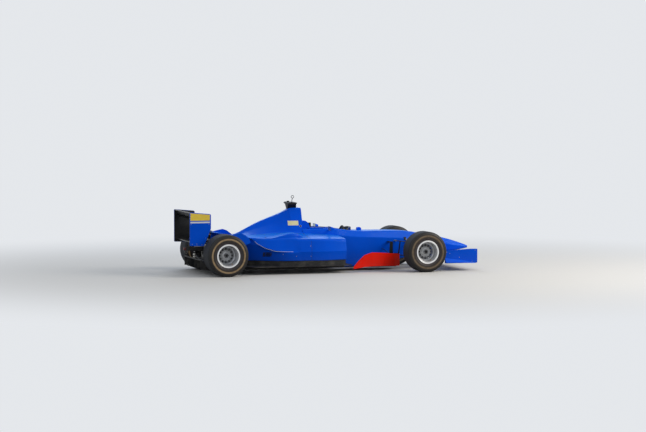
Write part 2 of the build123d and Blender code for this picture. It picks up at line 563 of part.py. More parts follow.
housing -= rod((rack_x - 60, 0, RACK_Z + 32), (rack_x + 60, 0, RACK_Z + 23), COLUMN_RADIUS + 5)
dash = block(2140, 2152, -300, 300, 470, 700) & tub_inner
dash -= rod(COLUMN_TOP, COLUMN_END, COLUMN_RADIUS + RUNNING_FIT)
PIECES["steering_mounts"] = housing + dash

# Wheels: axle end, its x, wheel middle y, tyre width and radius, dish, and the hub's rear face
wheel_rows = [
    ("front", WHEELBASE, FRONT_WHEEL_Y, FRONT_TYRE_WIDTH, FRONT_TYRE_RADIUS, FRONT_DISH, -34),
    ("rear", 0, REAR_WHEEL_Y, REAR_TYRE_WIDTH, REAR_TYRE_RADIUS, REAR_DISH, -30),
]
for end, x, y, width, radius, dish, hub_back in wheel_rows:
    brake = turned([
        (HUB_RADIUS - 12, hub_back - BRAKE_THICKNESS), (BRAKE_RADIUS, hub_back - BRAKE_THICKNESS),
        (BRAKE_RADIUS, hub_back), (HUB_RADIUS - 12, hub_back),
    ])
    group = {"tyre": tyre(radius, width), "rim": rim(width, dish, hub_back), "brake_disc": brake}
    for label, shape in group.items():
        placed = Pos(x, y, radius) * shape
        PIECES[label + "_" + end + "_left"] = placed
        PIECES[label + "_" + end + "_right"] = mirrored(placed)
shaft_end = REAR_WHEEL_Y + disc_plane(REAR_TYRE_WIDTH, REAR_DISH) + NUT_SEAT
shaft = rod((0, 82, REAR_TYRE_RADIUS), (0, shaft_end, REAR_TYRE_RADIUS), SPINDLE_RADIUS)
shaft += rod((0, 130, REAR_TYRE_RADIUS), (0, 215, REAR_TYRE_RADIUS), 48)
shaft += rod((0, 440, REAR_TYRE_RADIUS), (0, 530, REAR_TYRE_RADIUS), 44)
PIECES["driveshaft_left"] = shaft
PIECES["driveshaft_right"] = mirrored(shaft)
PIECES["monocoque"] = monocoque

os.makedirs("parts", exist_ok=True)
for name, shape in PIECES.items():
    export_step(Pos(SHIFT_X, 0, 0) * shape, "parts/" + name + ".step")
    box = shape.bounding_box()
    print(name, shape.is_valid, len(shape.solids()), round(shape.volume / 1e6, 3),
          [round(v) for v in (box.min.X, box.max.X, box.min.Y, box.max.Y, box.min.Z, box.max.Z)])
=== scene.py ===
"""Dresses the open wheel racing car in its finishes and adds the small parts that its solids lack.

Metres. Points are given from the middle of the rear axle on the ground and moved into the frame by at().
"""

import json
import math

import bmesh
import bpy
from mathutils import Matrix, Vector
from mathutils.bvhtree import BVHTree


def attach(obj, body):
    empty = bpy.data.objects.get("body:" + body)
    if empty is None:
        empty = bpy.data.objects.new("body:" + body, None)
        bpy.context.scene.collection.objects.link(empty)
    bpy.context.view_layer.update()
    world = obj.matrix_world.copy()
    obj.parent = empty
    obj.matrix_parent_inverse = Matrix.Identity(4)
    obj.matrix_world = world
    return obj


bl_info = {
    "name": "Open Wheel Racing Car",
    "version": (1, 2, 0),
    "blender": (4, 5, 0),
    "location": "View3D > Sidebar > Racing Car",
    "description": "Gives the packed racing car its finishes and the small parts that its solids lack",
    "category": "Object",
}

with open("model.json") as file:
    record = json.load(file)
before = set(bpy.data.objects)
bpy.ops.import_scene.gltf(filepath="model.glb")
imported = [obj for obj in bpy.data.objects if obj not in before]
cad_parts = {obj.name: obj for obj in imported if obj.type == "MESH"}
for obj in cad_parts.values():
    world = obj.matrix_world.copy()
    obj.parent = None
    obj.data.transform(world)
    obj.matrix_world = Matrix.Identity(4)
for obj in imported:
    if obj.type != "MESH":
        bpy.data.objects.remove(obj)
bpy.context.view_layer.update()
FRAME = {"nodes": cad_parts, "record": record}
MATERIALS = {}
SIDES = (("left", 1.0), ("right", -1.0))
FORE, AFT, UP, DOWN = Vector((1, 0, 0)), Vector((-1, 0, 0)), Vector((0, 0, 1)), Vector((0, 0, -1))
OUT = Vector((0, 1, 0))

# The rear axle lies this far behind the frame's origin
REAR_AXLE_X = -1.780
# Each axle's x, hub height, tyre radius, wheel disc y, rim face y, brake disc's inner and outer y
AXLES = {
    "front": (3.100, 0.306, 0.306, 0.773, 0.891, 0.6855, 0.7135),
    "rear": (0.0, 0.310, 0.310, 0.731, 0.891, 0.6595, 0.6875),
}
TYRE_WIDTHS = {"front": 0.305, "rear": 0.365}
TYRE_OUTER_Y = 0.900
WING_PLATE_Y = 0.500
FRONT_PLATE_Y = 0.700
# Radii of the rim's lip and of its inner step, and of the circles of its bolts and its drive pegs
RIM_LIP, RIM_STEP, BOLT_CIRCLE, PEG_CIRCLE = 0.1735, 0.1560, 0.1255, 0.070
FILM_THICKNESS = 0.0007
WEBBING_THICKNESS = 0.0022
SMALL_BOLT = 0.0045
# Points closer than this are joined
JOIN_DISTANCE = 0.00002
# Half the floor's side
FLOOR_REACH = 90.0

# Camera fitted to the photograph: it looks at this point from behind the car's right side
CAMERA_TARGET = Vector((-0.280, -0.45, 0.45))
CAMERA_YAW = math.radians(16.94)
CAMERA_RISE = math.radians(3.9)
CAMERA_DISTANCE = 36.27
CAMERA_LENS = 134.44
CAMERA_SHIFT = (0.0081, 0.0415)
# The backdrop's colour and strength, which the floor runs into
BACKDROP = "f2f5f9"
BACKDROP_STRENGTH = 0.88
# A colour mix's settings: its result is the third output
BLEND = {"out": 2, "data_type": "RGBA"}


def linear(code):
    """Turns an sRGB hex colour into linear values with alpha."""
    values = [int(code[i:i + 2], 16) / 255 for i in (0, 2, 4)]
    return tuple(v / 12.92 if v <= 0.04045 else ((v + 0.055) / 1.055) ** 2.4 for v in values) + (1.0,)


def at(x, y, z):
    """A point given from the rear axle on the ground, in the frame."""
    return Vector((x + REAR_AXLE_X, y, z))


def above(x, y):
    """A point over the car, from which a line falls on it."""
    return at(x, y, 1.3)


def beside(x, z):
    """A point out to the car's left, from which a line meets its side."""
    return at(x, 1.4, z)


# Finishes
def add(owner, kind, links=None, out=0, **settings):
    """Adds a node to a material or world, links or sets its inputs, and gives one of its outputs."""
    tree = owner.node_tree
    node = tree.nodes.new("ShaderNode" + kind)
    for key, value in settings.items():
        setattr(node, key, value)
    for key, value in (links or {}).items():
        if isinstance(value, bpy.types.NodeSocket):
            tree.links.new(value, node.inputs[key])
        else:
            node.inputs[key].default_value = value
    return node.outputs[out]


def begin_finish(name, colour, roughness, metallic=0.0, **sockets):
    """A named material with its shader's own sockets set, and its Object coordinates."""
    finish = bpy.data.materials.new(name)
    finish.use_nodes = True
    sockets.update(Base_Color=colour, Roughness=roughness, Metallic=metallic)
    for key, value in sockets.items():
        finish.node_tree.nodes["Principled BSDF"].inputs[key.replace("_", " ")].default_value = value
    return finish, add(finish, "TexCoord", out="Object")


def end_finish(finish, colour, roughness, height, depth, strength):
    """Links the worked-out surface height, and the colour and roughness if there are any, to the shader."""
    normal = add(finish, "Bump", {"Height": height, "Strength": strength, "Distance": depth})
    shader = finish.node_tree.nodes["Principled BSDF"]
    for key, value in (("Base Color", colour), ("Roughness", roughness), ("Normal", normal)):
        if value is not None:
            finish.node_tree.links.new(value, shader.inputs[key])
    return finish


def patches(finish, where, scale, detail, low, high, most=1.0, rough=0.5):
    """Soft patches, scale to the metre: nothing where the noise is low, and the most where it is high."""
    noise = add(finish, "TexNoise", {"Vector": where, "Scale": scale, "Detail": detail, "Roughness": rough})
    return add(finish, "MapRange", {"Value": noise, "From Min": low, "From Max": high, "To Max": most})


def hub_distance(finish, where, end):
    """How far a point lies from an axle's own line."""
    x, z = AXLES[end][:2]
    flat = add(finish, "Mapping", {"Vector": where, "Location": (-x - REAR_AXLE_X, 0.0, -z),
                                   "Scale": (1.0, 0.0, 1.0)})
    return add(finish, "VectorMath", {0: flat}, "Value", operation="LENGTH")


def hub_rings(finish, distance, closeness):
    """Rings round an axle, as a wave from -1 to 1."""
    turns = add(finish, "Math", {0: distance, 1: closeness}, operation="MULTIPLY")
    return add(finish, "Math", {0: turns}, operation="SINE")


def set_stops(ramp, stops):
    """Gives a colour ramp its places and colours."""
    elements = ramp.node.color_ramp.elements
    while len(elements) < len(stops):
        elements.new(0.5)
    for element, (place, colour) in zip(elements, stops):
        element.position = place
        element.color = linear(colour)
    return ramp


def sprayed_paint(name, colour, shade, gleam, dust):
    """Two-pack pearl paint sprayed over moulded composite and clearcoated.

    The eye gets a deep even colour whose sheen and reflections keep its own tint, a thin clear gloss,
    a faint orange peel of 6 mm, patches a little darker, stone chips low down and a film of road dust there.
    """
    finish, where = begin_finish(
        name, colour, 0.34, Coat_Weight=0.05, Coat_Roughness=0.14, Specular_IOR_Level=0.18,
        Specular_Tint=linear(gleam), Sheen_Weight=0.6, Sheen_Roughness=0.45, Sheen_Tint=linear(gleam))
    clouds = patches(finish, where, 2.6, 3.0, 0.4, 0.65, 0.35)
    base = add(finish, "Mix", {0: clouds, 6: colour, 7: shade}, **BLEND)
    height = add(finish, "SeparateXYZ", {0: where}, "Z")
    low = add(finish, "MapRange", {"Value": height, "From Min": 0.33, "From Max": 0.11, "To Max": dust})
    speck = patches(finish, where, 60.0, 7.0, 0.42, 0.68, rough=0.75)
    film = add(finish, "Math", {0: low, 1: speck}, operation="MULTIPLY")
    base = add(finish, "Mix", {0: film, 6: base, 7: linear("6b6962")}, **BLEND)
    cells = add(finish, "TexVoronoi", {"Vector": where, "Scale": 46.0}, "Distance")
    chips = add(finish, "MapRange", {"Value": cells, "From Min": 0.10, "From Max": 0.07, "To Max": 0.5})
    chips = add(finish, "Math", {0: chips, 1: low}, operation="MULTIPLY")
    base = add(finish, "Mix", {0: chips, 6: base, 7: linear("c9c9c4")}, **BLEND)
    matt = add(finish, "MapRange", {"Value": film, "From Max": 0.4, "To Min": 0.34, "To Max": 0.7})
    peel = add(finish, "TexNoise", {"Vector": where, "Scale": 160.0, "Detail": 1.0})
    return end_finish(finish, base, matt, peel, 0.0004, 0.05)


def woven_carbon(name, light, dark, roughness, coat):
    """Carbon twill set in epoxy: lacquered on the wings, dry from the mould on the floor and the arms.

    The eye gets near black with a fine chequer, which a real 2 mm tow would make too fine to show, so it
    is drawn at 11 mm. Dust lies in it in patches.
    """
    light, dark = linear(light), linear(dark)
    finish, where = begin_finish(
        name, light, roughness, Coat_Weight=coat, Coat_Roughness=0.12, Specular_IOR_Level=0.3)
    turn = add(finish, "Mapping", {"Vector": where, "Rotation": (0.31, 0.17, 0.79)})
    weave = add(finish, "TexChecker", {"Vector": turn, "Scale": 90.0, "Color1": light, "Color2": dark})
    soil = patches(finish, where, 8.0, 7.0, 0.46, 0.75, 0.45)
    height = add(finish, "SeparateXYZ", {0: where}, "Z")
    low = add(finish, "MapRange", {"Value": height, "From Min": 0.60, "From Max": 0.10, "To Min": 0.15})
    soil = add(finish, "Math", {0: soil, 1: low}, operation="MULTIPLY")
    base = add(finish, "Mix", {0: soil, 6: weave, 7: linear("77746d")}, **BLEND)
    matt = add(finish, "MapRange", {"Value": soil, "To Max": 0.9, "To Min": roughness, "From Max": 0.5})
    return end_finish(finish, base, matt, weave.node.outputs["Fac"], 0.0004, 0.2)


def slick_rubber(end, band, inner):
    """Vulcanised slick compound.

    The eye gets a worn warm-black tread with scuffs round it, a smooth darker shoulder, the tan ring
    where hot rubber has been dragged over the sidewall, and the greyer bulge of the bead.
    """
    finish, where = begin_finish(
        "vulcanised_slick_rubber_" + end, linear("1a1817"), 0.6, Specular_IOR_Level=0.35)
    radius = AXLES[end][2]
    distance = hub_distance(finish, where, end)
    along = add(finish, "MapRange", {"Value": distance, "From Min": 0.170, "From Max": radius})
    wall = set_stops(add(finish, "ValToRGB", {"Fac": along}), (
        (0.0, "1d1b1b"), (0.13, "4a4346"), (0.24, "37302f"), (0.31, "231e1c"), (0.43, inner),
        (0.50, band), (0.58, band), (0.65, "2b2521"), (0.80, "191817"), (1.0, "1b1c1e")))
    grime = add(finish, "TexNoise", {"Vector": where, "Scale": 22.0, "Detail": 7.0})
    smear = add(finish, "MapRange", {"Value": grime, "From Min": 0.45, "From Max": 0.72, "To Max": 0.5})
    base = add(finish, "Mix", {0: smear, 6: wall, 7: linear("1b1817")}, **BLEND)
    streak = add(finish, "Mapping", {"Vector": where, "Scale": (2.0, 90.0, 2.0)})
    streak = add(finish, "TexNoise", {"Vector": streak, "Scale": 1.0, "Detail": 5.0})
    tread = add(finish, "MapRange", {
        "Value": distance, "From Min": radius - 0.012, "From Max": radius - 0.002})
    scuff = add(finish, "Math", {0: tread, 1: streak}, operation="MULTIPLY")
    base = add(finish, "Mix", {0: scuff, 6: base, 7: linear("30343a")}, **BLEND)
    matt = add(finish, "MapRange", {"Value": tread, "To Min": 0.45, "To Max": 0.85})
    relief = add(finish, "Math", {0: hub_rings(finish, distance, 700.0), 1: 0.12, 2: grime},
                 operation="MULTIPLY_ADD")
    return end_finish(finish, base, matt, relief, 0.0016, 0.3)


def turned_magnesium(end):
    """Forged magnesium alloy, turned on a lathe.

    The eye gets a bright lip with a duller edge outside it, fine rings 4 mm apart down the stepped barrel,
    and brown brake dust that thickens towards the hub.
    """
    finish, where = begin_finish(
        "forged_magnesium_turned_" + end, linear("c4c6c9"), 0.36, 0.6, Anisotropic=0.35)
    distance = hub_distance(finish, where, end)
    along = add(finish, "MapRange", {"Value": distance, "From Min": 0.02, "From Max": 0.178})
    metal = set_stops(add(finish, "ValToRGB", {"Fac": along}), (
        (0.0, "3f4247"), (0.12, "a6a8ab"), (0.33, "acaeb1"), (0.42, "636568"), (0.60, "6c6e72"),
        (0.72, "c6c8cc"), (0.86, "ecedef"), (0.955, "f0f1f2"), (1.0, "6f7072")))
    dust = patches(finish, where, 26.0, 7.0, 0.45, 0.8, 0.5)
    inner = add(finish, "MapRange", {"Value": distance, "From Min": 0.158, "From Max": 0.09})
    dust = add(finish, "Math", {0: dust, 1: inner}, operation="MULTIPLY")
    base = add(finish, "Mix", {0: dust, 6: metal, 7: linear("3b342e")}, **BLEND)
    matt = add(finish, "MapRange", {"Value": dust, "To Min": 0.34, "To Max": 0.7})
    return end_finish(finish, base, matt, hub_rings(finish, distance, 1500.0), 0.0004, 0.12)


def friction_disc(end):
    """Carbon friction disc, ground flat: soot grey with fine rings worn by the pads."""
    finish, where = begin_finish("carbon_friction_disc_" + end, linear("3a3a3b"), 0.5, 0.4)
    rings = hub_rings(finish, hub_distance(finish, where, end), 1100.0)
    worn = add(finish, "MapRange", {"Value": rings, "From Min": -1.0, "To Max": 0.6})
    base = add(finish, "Mix", {0: worn, 6: linear("2a2a2b"), 7: linear("5a5a5c")}, **BLEND)
    return end_finish(finish, base, None, rings, 0.0005, 0.2)


def grained(name, colour, other, roughness, grain, depth=0.3, metallic=0.0, stretch=(1.0, 1.0, 1.0),
            patch=0.35, **sockets):
    """A moulded, cast, plated, woven or rolled finish, from its own grain size in metres.

    The grain shows as a change of colour and gloss and as relief, and a larger patchiness ages it.
    """
    colour, other = linear(colour), linear(other)
    finish, where = begin_finish(name, colour, roughness, metallic, **sockets)
    drawn = add(finish, "Mapping", {"Vector": where, "Scale": stretch})
    fine = add(finish, "TexNoise", {"Vector": drawn, "Scale": 1.0 / grain, "Detail": 4.0})
    broad = add(finish, "TexNoise", {"Vector": where, "Scale": 9.0, "Detail": 5.0})
    grains = add(finish, "MapRange", {"Value": fine, "From Min": 0.35, "From Max": 0.65, "To Max": 0.6})
    base = add(finish, "Mix", {0: grains, 6: colour, 7: other}, **BLEND)
    aged = add(finish, "MapRange", {"Value": broad, "From Min": 0.45, "From Max": 0.75, "To Max": patch})
    base = add(finish, "Mix", {0: aged, 6: base, 7: other}, **BLEND)
    matt = add(finish, "MapRange", {"Value": broad, "From Min": 0.3, "From Max": 0.8,
                                    "To Min": max(roughness - 0.06, 0.02), "To Max": roughness + 0.14})
    return end_finish(finish, base, matt, fine, grain * 0.3, depth)


def banded(name, colour, other, roughness, pitch, direction, depth=0.5, metallic=0.0, **sockets):
    """A finish made of equal bands: plies, fins, ribs or webbing threads, from their pitch in metres."""
    colour, other = linear(colour), linear(other)
    finish, where = begin_finish(name, colour, roughness, metallic, **sockets)
    bands = add(finish, "TexWave", {"Vector": where, "Scale": math.tau / 20.0 / pitch, "Distortion": 0.6,
                                    "Detail": 1.0, "Detail Scale": 2.0}, "Fac", bands_direction=direction)
    base = add(finish, "Mix", {0: bands, 6: other, 7: colour}, **BLEND)
    soil = patches(finish, where, 12.0, 5.0, 0.45, 0.75, 0.4)
    base = add(finish, "Mix", {0: soil, 6: base, 7: other}, **BLEND)
    return end_finish(finish, base, None, bands, pitch * 0.3, depth)


def heated_steel(name):
    """Stainless tube, welded and run hot: straw to blue tints along it and soot at its mouth."""
    finish, where = begin_finish(name, linear("9c9287"), 0.32, 1.0)
    wander = add(finish, "TexNoise", {"Vector": where, "Scale": 18.0, "Detail": 4.0})
    along = add(finish, "Math", {0: wander, 1: 0.10, 2: add(finish, "SeparateXYZ", {0: where}, "X")},
                operation="MULTIPLY_ADD")
    along = add(finish, "MapRange", {"Value": along, "From Min": 0.76 + REAR_AXLE_X,
                                     "From Max": 0.98 + REAR_AXLE_X})
    tint = set_stops(add(finish, "ValToRGB", {"Fac": along}), (
        (0.0, "1d1a18"), (0.3, "4c4a5e"), (0.55, "6b5b50"), (1.0, "8d7c63")))
    return end_finish(finish, tint, None, wander, 0.001, 0.15)


def clear_sheet(name, tint, passes, roughness, bend):
    """Clear plastic or glass: tinted, smooth, with wiping scratches too faint to dull it."""
    finish, where = begin_finish(
        name, linear(tint), roughness, Transmission_Weight=passes, IOR=bend, Coat_Weight=0.3)
    wiped = add(finish, "Mapping", {"Vector": where, "Scale": (30.0, 30.0, 260.0)})
    scratch = add(finish, "TexNoise", {"Vector": wiped, "Scale": 2.0, "Detail": 3.0})
    matt = add(finish, "MapRange", {"Value": scratch, "From Min": 0.5, "From Max": 0.8,
                                    "To Min": roughness, "To Max": roughness + 0.12})
    return end_finish(finish, None, matt, scratch, 0.0003, 0.05)


def vinyl_film(shade, colour, other):
    """Cast vinyl film, cut and stuck on: flat even colour, a slight satin, dirt along the way of the air."""
    return grained("cast_vinyl_film_" + shade, colour, other, 0.38, 0.02, 0.05, stretch=(0.3, 1.0, 1.0))


def anodised(shade, colour, other, roughness, metallic=1.0):
    """Anodised, milled aluminium: a tinted metal with fine tool marks."""
    return grained("anodised_aluminium_" + shade, colour, other, roughness, 0.004, 0.2, metallic)


def make_finishes(colours):
    """Makes every finish once."""
    MATERIALS.update({
        "blue": sprayed_paint("clearcoated_paint_blue", colours.blue, colours.blue_shade, "1ea6ff", 0.2),
        "red": sprayed_paint("clearcoated_paint_red", colours.red, colours.red_shade, "ff6a3a", 0.18),
        "wing": woven_carbon("lacquered_carbon_twill", "14171b", "08090b", 0.32, 0.3),
        "carbon": woven_carbon("dry_carbon_twill", "232427", "101113", 0.5, 0.0),
        # Sand cast alloy: the eye gets a dull grey with the mould's 4 mm grain and oily patches
        "cast": grained("cast_aluminium_sand", "7f7f7d", "4c4a46", 0.5, 0.004, 0.4, 1.0, patch=0.55),
        "exhaust": heated_steel("stainless_steel_welded"),
        # Drawn steel bar, plated: bright, with long scratches along the car's width
        "steel": grained("plated_steel_drawn", "a9abae", "76777a", 0.3, 0.006, 0.15, 1.0, (1.0, 0.08, 1.0)),
        # Resin-bonded beech boards, planed: brown plies drawn 16 mm apart, with dark scrapes
        "plank": banded("laminated_beech_planed", "59412b", "2b1e15", 0.55, 0.016, "Y", 0.3),
        "screen": clear_sheet("smoked_polycarbonate_formed", "3c4652", 0.7, 0.05, 1.585),
        # Silvered float glass: a cool, smooth reflection
        "glass": grained("silvered_glass", "9db5aa", "86a096", 0.08, 0.05, 0.02, 0.7, patch=0.15),
        # Moulded acrylic: a deep red with its prisms showing as 8 mm cells
        "lens": grained("red_acrylic_moulded", "7c0906", "c01c12", 0.12, 0.008, 0.6, patch=0.1,
                        Coat_Weight=0.6, Coat_Roughness=0.03),
        # Brazed aluminium fins 2 mm apart, drawn at 9 mm so that they show; the near-black colour between
        # them is painted shade of the gaps, and the banded finish also mixes it in as darker patches
        "fins": banded("brazed_aluminium_fins", "6d7074", "0d0d0e", 0.5, 0.009, "Z", 0.8, 0.7),
        "yellow": vinyl_film("yellow", "ecd04a", "dcbc3a"),
        # White film for the stripes and the wheel's buttons; laid as thin beads on the pods' swept edges it
        # is a painted highlight
        "white": vinyl_film("white", "e4e6e6", "c9cbc9"),
        "pale": vinyl_film("cream", "e3dcae", "d3c98f"),
        # Moulded, textured ABS: even black with a fine grain that spreads any reflection
        "abs": grained("moulded_abs_black", "0b0f14", "171b20", 0.5, 0.006, 0.25, Specular_IOR_Level=0.25),
        # Extruded black rubber seal: dull, closed, a little dusty. The same black is also laid as painted
        # shade in the louvre recesses and in the wheels' bore and peg holes
        "seal": grained("black_rubber_and_painted_shade", "0f1012", "1c1c1d", 0.7, 0.006, 0.2),
        # Moulded rubber for boots and grips: soft sheen and small pits
        "boot": grained("moulded_rubber_black", "19191a", "2a2928", 0.6, 0.005, 0.4),
        "anodised_red": anodised("red", "9c1f1c", "6b1512", 0.32),
        "anodised_gold": anodised("gold", "b98a35", "8a6526", 0.34),
        "anodised_dark": anodised("black", "2b2c2f", "191a1c", 0.4, 0.9),
        # Titanium plate, ground by the road: light grey with long scores
        "titanium": grained("ground_titanium", "8d8a86", "5f5b56", 0.4, 0.006, 0.4, 1.0, (0.06, 1.0, 1.0)),
        # Woven polyester webbing: 1.5 mm threads drawn at 5 mm across the strap
        "webbing": banded("woven_polyester_webbing", "8f1a1d", "5c0f12", 0.75, 0.005, "Y", 0.6,
                          Sheen_Weight=0.3, Sheen_Roughness=0.4),
        # Knitted cover over foam: a matt black with a 6 mm rib and a soft sheen at its edges
        "knit": banded("knitted_polyester_cover", "26272b", "141417", 0.85, 0.006, "Z", 0.7,
                       Sheen_Weight=0.5, Sheen_Roughness=0.45),
        # Blow-moulded polyethylene: milky white, waxy, slightly uneven
        "bottle": grained("polyethylene_blow_moulded", "e7e6df", "cfcdc2", 0.4, 0.02, 0.15,
                          Subsurface_Weight=0.15, Subsurface_Radius=(0.01, 0.01, 0.01)),
        # Polished cover glass over a dark display or lens: black with a sharp gloss
        "display": grained("lcd_cover_glass", "10161a", "1b262c", 0.08, 0.012, 0.05, Coat_Weight=0.5),
    })
    for end, band, inner in (("front", "6f604c", "463a2d"), ("rear", "a48b68", "2e2620")):
        MATERIALS.update({"tyre_" + end: slick_rubber(end, band, inner), "rim_" + end: turned_magnesium(end),
                          "brake_" + end: friction_disc(end)})


# The finish of each of the record's slots. One that ends in _ is made for each axle
SLOT_FINISHES = {
    "body_blue": "blue", "board_red": "red", "wing_black": "wing", "carbon": "carbon", "cast_alloy": "cast",
    "steel": "steel", "plank_wood": "plank", "clear_screen": "screen", "lamp_red": "lens", "radiator": "fins",
    "tyre": "tyre_", "rim_metal": "rim_", "brake": "brake_",
}
NODE_FINISHES = {"exhausts": "exhaust", "camera_pod": "abs", "turning_vanes": "abs"}
# The slot of each finish, which make_piece looks up for a new piece and then leaves unused
FINISH_SLOTS = {finish: slot for slot, finish in SLOT_FINISHES.items()}
FINISH_SLOTS["exhaust"] = "steel"


# Shapes
def turns(count, shift=0.0):
    """Evenly spaced turns round a circle."""
    return [math.tau * (i + shift) / count for i in range(count)]


def around(centre, out, turn, reach, off):
    """A point off a wheel's centre: a turn and a reach about its axle, and a way out along it."""
    return centre + Vector((math.cos(turn) * reach, 0.0, math.sin(turn) * reach)) + out * off


def corners(left, right, low, high):
    """The four corners of a rectangle."""
    return [(left, low), (right, low), (right, high), (left, high)]


def line(start, end, count):
    """Evenly spaced points from one end to the other."""
    return [start.lerp(end, i / (count - 1)) for i in range(count)]


def nearest(points, along):
    """The point of a row that lies at a place from -1 to 1 along it."""
    return points[round((along + 1) / 2 * (len(points) - 1))]


def only(kind, items):
    """The items of one kind among some geometry."""
    return [item for item in items if isinstance(item, kind)]


def rounded(shape, geom, offset, cuts, affect="EDGES"):
    """Rounds some edges or corners."""
    bmesh.ops.bevel(shape, geom=geom, offset=offset, segments=cuts, profile=0.5, affect=affect, material=-1)


def bar(shape, start, end, radius, end_radius=None, sides=16):
    """A round bar, or a cone, between two points."""
    run = end - start
    stand = Matrix.Translation((start + end) / 2) @ run.to_track_quat("Z", "Y").to_matrix().to_4x4()
    bmesh.ops.create_cone(shape, cap_ends=True, segments=sides, radius1=radius, depth=run.length,
                          radius2=radius if end_radius is None else end_radius, matrix=stand)


def bolt(shape, spot, run, size=SMALL_BOLT):
    """A washer with a six-sided head on it, standing on a surface."""
    bar(shape, spot - run * size * 0.3, spot + run * size * 0.15, size * 1.45)
    bar(shape, spot, spot + run * size * 0.9, size, size * 0.9, 6)


def quarter_turn(shape, spot, run, size):
    """A flush fastener with a domed head and a raised slot bar."""
    bar(shape, spot - run * 0.002, spot + run * 0.0015, size, size * 0.82)
    top, side = spot + run * 0.0012, run.orthogonal().normalized() * size * 0.6
    bar(shape, top - side, top + side, 0.0012, sides=6)


def block(shape, low, high, bevel=0.0, cuts=2):
    """A box between two corners with rounded edges."""
    stand = Matrix.Translation((low + high) / 2) @ Matrix.Diagonal((*(high - low), 1))
    made = bmesh.ops.create_cube(shape, size=1.0, matrix=stand)
    if bevel:
        rounded(shape, list({edge for vert in made["verts"] for edge in vert.link_edges}), bevel, cuts)


def bead(shape, spot, radius):
    """A small ball."""
    bmesh.ops.create_uvsphere(shape, u_segments=10, v_segments=6, radius=radius,
                              matrix=Matrix.Translation(spot))


def ring(shape, profile, centre, axis, steps, angle=math.tau, closed=True):
    """A loop of (radius, height) points turned about an axis through a centre."""
    across = FORE if abs(axis.dot(FORE)) < 0.9 else UP
    across = (across - axis * across.dot(axis)).normalized()
    verts = [shape.verts.new(centre + across * radius + axis * height) for radius, height in profile]
    edges = [shape.edges.new(pair) for pair in zip(verts, verts[1:] + (verts[:1] if closed else []))]
    full = angle == math.tau
    made = bmesh.ops.spin(shape, geom=verts + edges, cent=centre, axis=axis, angle=angle, steps=steps,
                          use_merge=full)
    if not full:
        bmesh.ops.holes_fill(shape, edges=edges + only(bmesh.types.BMEdge, made["geom_last"]))


def round_profile(radius, height, size, points=10):
    """The (radius, height) points of a small round section."""
    return [(radius + size * math.cos(turn), height + size * math.sin(turn)) for turn in turns(points)]


def plate(shape, points, push, corner):
    """A flat outline given its thickness, with its corners rounded."""
    older = set(shape.faces)
    face = shape.faces.new([shape.verts.new(point) for point in points])
    rounded(shape, face.verts[:], corner, 4, "VERTICES")
    faces = [item for item in shape.faces if item not in older]
    moved = bmesh.ops.extrude_face_region(shape, geom=faces, use_keep_orig=True)["geom"]
    bmesh.ops.translate(shape, verts=only(bmesh.types.BMVert, moved), vec=push)


def side_plate(shape, points, y, push, corner):
    """A plate along the car from (x, z) points, at a distance y from its middle."""
    plate(shape, [at(x, y, z) for x, z in points], OUT * push, corner)


def hollow(shape, face, rim, push):
    """Leaves a rim round a face and pushes the rest of it in."""
    bmesh.ops.inset_region(shape, faces=[face], thickness=rim)
    moved = bmesh.ops.extrude_face_region(shape, geom=[face])["geom"]
    bmesh.ops.translate(shape, verts=only(bmesh.types.BMVert, moved), vec=push)
    bmesh.ops.delete(shape, geom=[face], context="FACES_ONLY")


def smooth_run(points, steps=6):
    """More points on a smooth curve through the given ones."""
    rows = [points[0]] + list(points) + [points[-1]]
    made = []
    for a, b, c, d in zip(rows, rows[1:], rows[2:], rows[3:]):
        for i in range(steps):
            t = i / steps
            made.append(0.5 * (2 * b + (c - a) * t + (2 * a - 5 * b + 4 * c - d) * t ** 2
                               + (3 * b - a - 3 * c + d) * t ** 3))
    return made + [points[-1]]


def tube(shape, points, radius, sides=12):
    """A round tube along a smooth curve through some points."""
    run = smooth_run(points)
    curve = bpy.data.curves.new("tube_run", "CURVE")
    curve.dimensions = "3D"
    curve.bevel_depth = radius
    curve.bevel_resolution = sides // 4
    curve.use_fill_caps = True
    spline = curve.splines.new("POLY")
    spline.points.add(len(run) - 1)
    for point, place in zip(spline.points, run):
        point.co = (*place, 1.0)
    holder = bpy.data.objects.new("tube_run", curve)
    shape.from_mesh(holder.to_mesh())
    bpy.data.objects.remove(holder)
    bpy.data.curves.remove(curve)


def sheet(shape, columns, rows, place, thickness=0.0):
    """A grid whose points, from -1 to 1 along and across it, are put where a function says."""
    verts = bmesh.ops.create_grid(shape, x_segments=columns, y_segments=rows, size=1.0)["verts"]
    for vert in verts:
        vert.co = place(vert.co.x, vert.co.y)
    if thickness:
        faces = list({face for vert in verts for face in vert.link_faces})
        bmesh.ops.solidify(shape, geom=faces, thickness=thickness)


def strap(shape, points, width, across):
    """Flat webbing along a smooth curve."""
    run = smooth_run(points)
    sheet(shape, len(run) - 1, 2, lambda along, off: nearest(run, along) + across * off * width / 2,
          WEBBING_THICKNESS)


def surfaces(*nodes):
    """Search trees over some solids' outer surfaces."""
    meshes = [FRAME["nodes"][node].data for node in nodes]
    return [BVHTree.FromPolygons([v.co for v in mesh.vertices], [p.vertices for p in mesh.polygons])
            for mesh in meshes]


def strike(trees, spot, run, reach=10.0):
    """Where a line meets the nearest surface, and which way that faces, or nothing within its reach."""
    hits = [hit for hit in (tree.ray_cast(spot, run, reach) for tree in trees) if hit[0] is not None]
    if not hits:
        return None
    place, normal, _, _ = min(hits, key=lambda hit: hit[3])
    return place, normal if normal.dot(run) < 0 else -normal


def land(trees, spot, run):
    """Where a line meets the nearest surface, and which way that surface faces."""
    met = strike(trees, spot, run)
    if met is None:
        raise RuntimeError("nothing under the trim at %s" % (spot,))
    return met


def laid(shape, trees, points, width, across, run, lift=0.0006, rows=1):
    """A thin ribbon laid on a surface along a line of points that stand off it."""
    def place(along, off):
        spot, facing = land(trees, nearest(points, along) + across * off * width / 2, run)
        return spot + facing * lift
    sheet(shape, len(points) - 1, rows, place)


